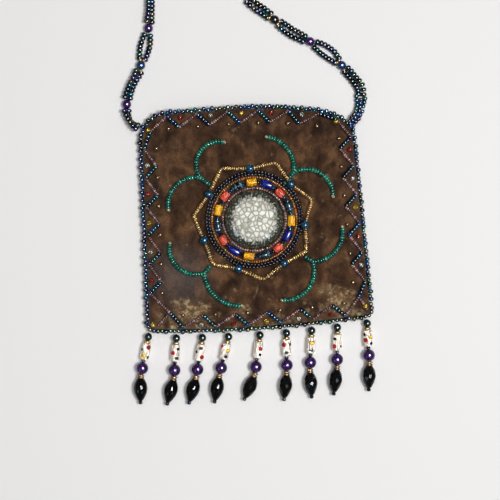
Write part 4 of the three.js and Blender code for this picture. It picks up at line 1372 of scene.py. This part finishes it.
def front_level(spots, shares_out):
    """The front's level with creases and stitch dimples."""
    near = np.array([stitches.find((x, y, 0))[2] for x, y in spots])
    wide = np.array([noise.noise((x / WIDE_CREASE, y / WIDE_CREASE, 3)) for x, y in spots])
    fine = np.array([noise.noise((x / FINE_CREASE, y / FINE_CREASE, 9)) for x, y in spots])
    level = front_height(spots) - DIMPLE * np.exp(-((near / DIMPLE_REACH) ** 2))
    creases = wide + FINE_SHARE * fine
    return level + CREASE * creases * np.minimum(1, (1 - shares_out) * CREASE_FADE)


def back_level(spots, shares_out):
    """The back's level."""
    _, lip = cloth_share(spots)
    return ease((shares_out - BACK_FLAT) / (1 - BACK_FLAT)) * BACK_TURN_UP * (1 - lip)


def cloth_panel(name, around, rings, height, finish, node, flip):
    """A panel as a grid wrapped round the outline."""
    bm = bmesh.new()
    bmesh.ops.create_grid(bm, x_segments=around, y_segments=rings, size=0.5)
    shares = np.array([vert.co[:2] for vert in bm.verts]) + 0.5
    spots = beside_edge(np.minimum(shares[:, 0], LAST_SHARE), 0) * shares[:, 1:]
    for vert, spot, level in zip(bm.verts, spots, height(spots, shares[:, 1])):
        vert.co = Vector((*spot, level)) * MM
    bmesh.ops.remove_doubles(bm, verts=bm.verts, dist=0.02 * MM)
    bmesh.ops.recalc_face_normals(bm, faces=bm.faces)
    if (sum(face.normal.z for face in bm.faces) < 0) != flip:
        bmesh.ops.reverse_faces(bm, faces=bm.faces)
    piece = finished(name, bm, [finish], nodes=(node,))
    thick = piece.modifiers.new("thickness", "SOLIDIFY")
    thick.thickness = CLOTH * MM
    thick.offset = -1
    return piece


# %% [markdown]
# The cloth is a brown pile that shows dark where it is brushed one way and tan where it is brushed the
# other way. One cloud of noise gives the mottling and another pale tan patches of scuffing and painted
# sheen where the puffed pile catches the light, growing towards the foot and at two spots near the lower
# corners. Where they meet a fine cloud of flecks the pile shows threadbare and pale. A patch on the left
# has a painted grey sheen.

# %% Colour of the cloth
# Pale tan of scuffing and painted sheen: the sheen stands for light that the puffed pile catches towards the
# foot and at two spots near the lower corners.
FOOT_WEAR_AND_SHEEN = 0.18
RUB_WEAR_AND_SHEEN = 0.32
WORN_AND_SHEEN_SPOTS = [((-35 * MM, -45 * MM, 5 * MM), 13 * MM), ((39 * MM, -41 * MM, 6 * MM), 12 * MM)]
# Painted sheen: a grey cast on a patch at the left stands for light that the pile gives back there.
PAINTED_SHEEN = 0.55
PAINTED_SHEEN_SPOT = (-38 * MM, -26 * MM, 6 * MM)
PAINTED_SHEEN_REACH = 24 * MM

pile, pile_shader = new_finish("brown_pile")
place = wire(pile, "TexCoord", "Object", {})


def cloud(scale, detail, distortion=0.0, vector=place):
    """Noise over the cloth."""
    inputs = {"Vector": vector, "Scale": scale, "Detail": detail, "Distortion": distortion}
    return wire(pile, "TexNoise", "Fac", inputs)


def added(first, second):
    """The sum of two shares."""
    return wire(pile, "Math", "Value", {0: first, 1: second}, operation="ADD")


def fading(spot, reach, strength, **settings):
    """A share with its full strength at a spot of the cloth, which fades out at a reach from it."""
    away = wire(pile, "VectorMath", "Value", {0: place, 1: spot}, operation="DISTANCE")
    inputs = {"Value": away, "From Max": reach, "To Min": strength, "To Max": 0}
    return wire(pile, "MapRange", "Result", inputs, **settings)


streaks = wire(pile, "Mapping", "Vector", {"Vector": place, "Scale": (1, 0.75, 1)})
brushed = ramp(pile, cloud(170, 5, 0.3, streaks), [
    (0.32, tone(43, 27, 18)), (0.5, tone(72, 49, 33)), (0.68, tone(106, 75, 50)),
])
up_the_cloth = wire(pile, "SeparateXYZ", "Y", {"Vector": place})
foot_wear_and_sheen = wire(pile, "MapRange", "Result", {
    "Value": up_the_cloth, "From Min": -30 * MM, "From Max": -54 * MM, "To Max": FOOT_WEAR_AND_SHEEN,
})
# Scuffing and painted sheen: noise, raised towards the foot and at the two spots near the lower corners.
wear_and_sheen = added(cloud(190, 8, 0.2), foot_wear_and_sheen)
for spot, reach in WORN_AND_SHEEN_SPOTS:
    wear_and_sheen = added(wear_and_sheen, fading(spot, reach, RUB_WEAR_AND_SHEEN))
worn_and_sheen = ramp(pile, wear_and_sheen, [(0.64, grey(0)), (1.0, grey(0.8))])
flecks = ramp(pile, cloud(520, 5, 0.4), [(0.5, grey(0)), (0.62, grey(1))])
worn_and_sheen_flecks = wire(pile, "Math", "Value", {0: worn_and_sheen, 1: flecks}, operation="MULTIPLY")
# Painted grey sheen on the left patch, blended over the brushed colour.
painted_sheen = fading(PAINTED_SHEEN_SPOT, PAINTED_SHEEN_REACH, PAINTED_SHEEN, interpolation_type="SMOOTHSTEP")
colour = blend(pile, painted_sheen, brushed, tone(96, 88, 86))
# Scuffing and painted sheen lay pale tan over the colour, with paler flecks within it.
colour = blend(pile, worn_and_sheen, colour, tone(140, 112, 80))
colour = blend(pile, worn_and_sheen_flecks, colour, tone(214, 192, 146))

# %% [markdown]
# Fine noise gives the grain of the pile and its nap, wide noise gives thin folds, and sheen gives the pale
# edge that a pile shows from the side.

# %% Relief of the cloth
AROUND = 400
RINGS = 64
BACK_AROUND = 240
BACK_RINGS = 24

grain = ramp(pile, cloud(1500, 3), [(0.35, grey(0.74)), (0.65, grey(1.18))])
folds = ramp(pile, cloud(60, 3, 1.2), [(0.43, grey(0)), (0.5, grey(1)), (0.57, grey(0))])
fold_relief = wire(pile, "Bump", "Normal", {"Strength": 0.5, "Distance": 0.9 * MM, "Height": folds})
feed(pile_shader, {
    "Base Color": wire(pile, "VectorMath", "Vector", {0: colour, 1: grain}, operation="MULTIPLY"),
    "Normal": wire(pile, "Bump", "Normal", {
        "Strength": 0.7, "Distance": 0.4 * MM, "Height": cloud(1100, 4), "Normal": fold_relief,
    }),
    "Roughness": 0.95,
    "Sheen Weight": 0.25,
    "Sheen Roughness": 0.5,
    "Specular IOR Level": 0.2,
})

front = cloth_panel("front_cloth", AROUND, RINGS, front_level, pile, "front_panel", False)
back = cloth_panel("back_cloth", BACK_AROUND, BACK_RINGS, back_level, pile, "back_panel", True)

# %% [markdown]
# ## Stage
# The purse lies on white paper, a hair below its lowest point so that the two don't touch.

# %% Paper
FLOOR_SIZE = 4.0
FLOOR_LEVEL = -0.1 * MM

paper, paper_shader = new_finish("paper")
feed(paper_shader, {"Base Color": tone(242, 241, 240), "Roughness": 0.9})
floor_bm = bmesh.new()
bmesh.ops.create_grid(floor_bm, x_segments=1, y_segments=1, size=FLOOR_SIZE / 2)
bmesh.ops.translate(floor_bm, vec=(0, 0, FLOOR_LEVEL), verts=floor_bm.verts)
floor_mesh = mesh_of(floor_bm, "floor")
floor_mesh.materials.append(paper)
floor = bpy.data.objects.new("floor", floor_mesh)
scene.collection.objects.link(floor)
floor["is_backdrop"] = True

# %% [markdown]
# A soft main light stands high on the right, so shadows fall to the left, and a wide ceiling light fills
# them. These two light the surfaces and don't show in the glass. What shows in the glass is made by lights
# that give only gloss: two small bluish windows low in front, for the second lights on the dome and the
# pearls, and a glint and a sparkle in the place of the main light. The sparkle is wide and reaches only the
# rows of dark and fine beads. The glint is small and reaches the other beads. The world is a plain grey fill.

# %% Lights
MAIN_SPOT = (0.36, -0.06, 1.15)
WINDOW_BLUE = (0.5, 0.76, 1)
WORLD_LIGHT = 0.22
WITHOUT_GLINT = ["cabochon_dome", "front_cloth", "back_cloth", "floor"]
SPARKLING = ["strap", "edge_row", "zigzag", "black_rows", "bezel_row", "amber_row"]
SPARKLING += ["vine_row_%d" % number for number in range(1, len(VINES) + 1)]


def lamp(name, place, size, watts, only_gloss, tint=(1, 1, 1)):
    """An area light that looks at the purse."""
    data = bpy.data.lights.new(name, "AREA")
    data.size = size
    data.energy = watts
    data.color = tint
    light = bpy.data.objects.new(name, data)
    light.location = place
    light.rotation_euler = (-Vector(place)).to_track_quat("-Z", "Y").to_euler()
    light.visible_glossy = only_gloss
    light.visible_diffuse = not only_gloss
    scene.collection.objects.link(light)
    return light


def reach_only(light, pieces):
    """Lets a light reach these pieces and no others."""
    takers = bpy.data.collections.new(light.name + "_takers")
    for piece in pieces:
        takers.objects.link(piece)
    light.light_linking.receiver_collection = takers


lamp("main_light", MAIN_SPOT, 0.26, 8.6, False)
lamp("ceiling", (0.1, 0.2, 1.7), 1.6, 6.9, False)
lamp("left_window", (-0.69, -0.4, 0.6), 0.26, 1.1, True, WINDOW_BLUE)
lamp("right_window", (0.42, -0.62, 0.67), 0.26, 0.8, True, WINDOW_BLUE)
glint = lamp("glint", MAIN_SPOT, 0.3, 140, True)
sparkle = lamp("sparkle", MAIN_SPOT, 0.6, 105, True)
pieces = [piece for piece in scene.collection.objects if piece.type == "MESH"]
reach_only(glint, [piece for piece in pieces if piece.name not in WITHOUT_GLINT + SPARKLING])
reach_only(sparkle, [piece for piece in pieces if piece.name in SPARKLING])

world = bpy.data.worlds.new("world")
world.use_nodes = True
feed(world.node_tree.nodes["Background"], {"Color": (1, 1, 1, 1), "Strength": WORLD_LIGHT})
scene.world = world
scene.view_settings.view_transform = "Standard"

# %% [markdown]
# ## Size of the model
# The box of the finished model is measured and printed.

# %% Sizes and finish
low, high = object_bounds()
print("model size mm:", [round(side / MM, 1) for side in high - low])
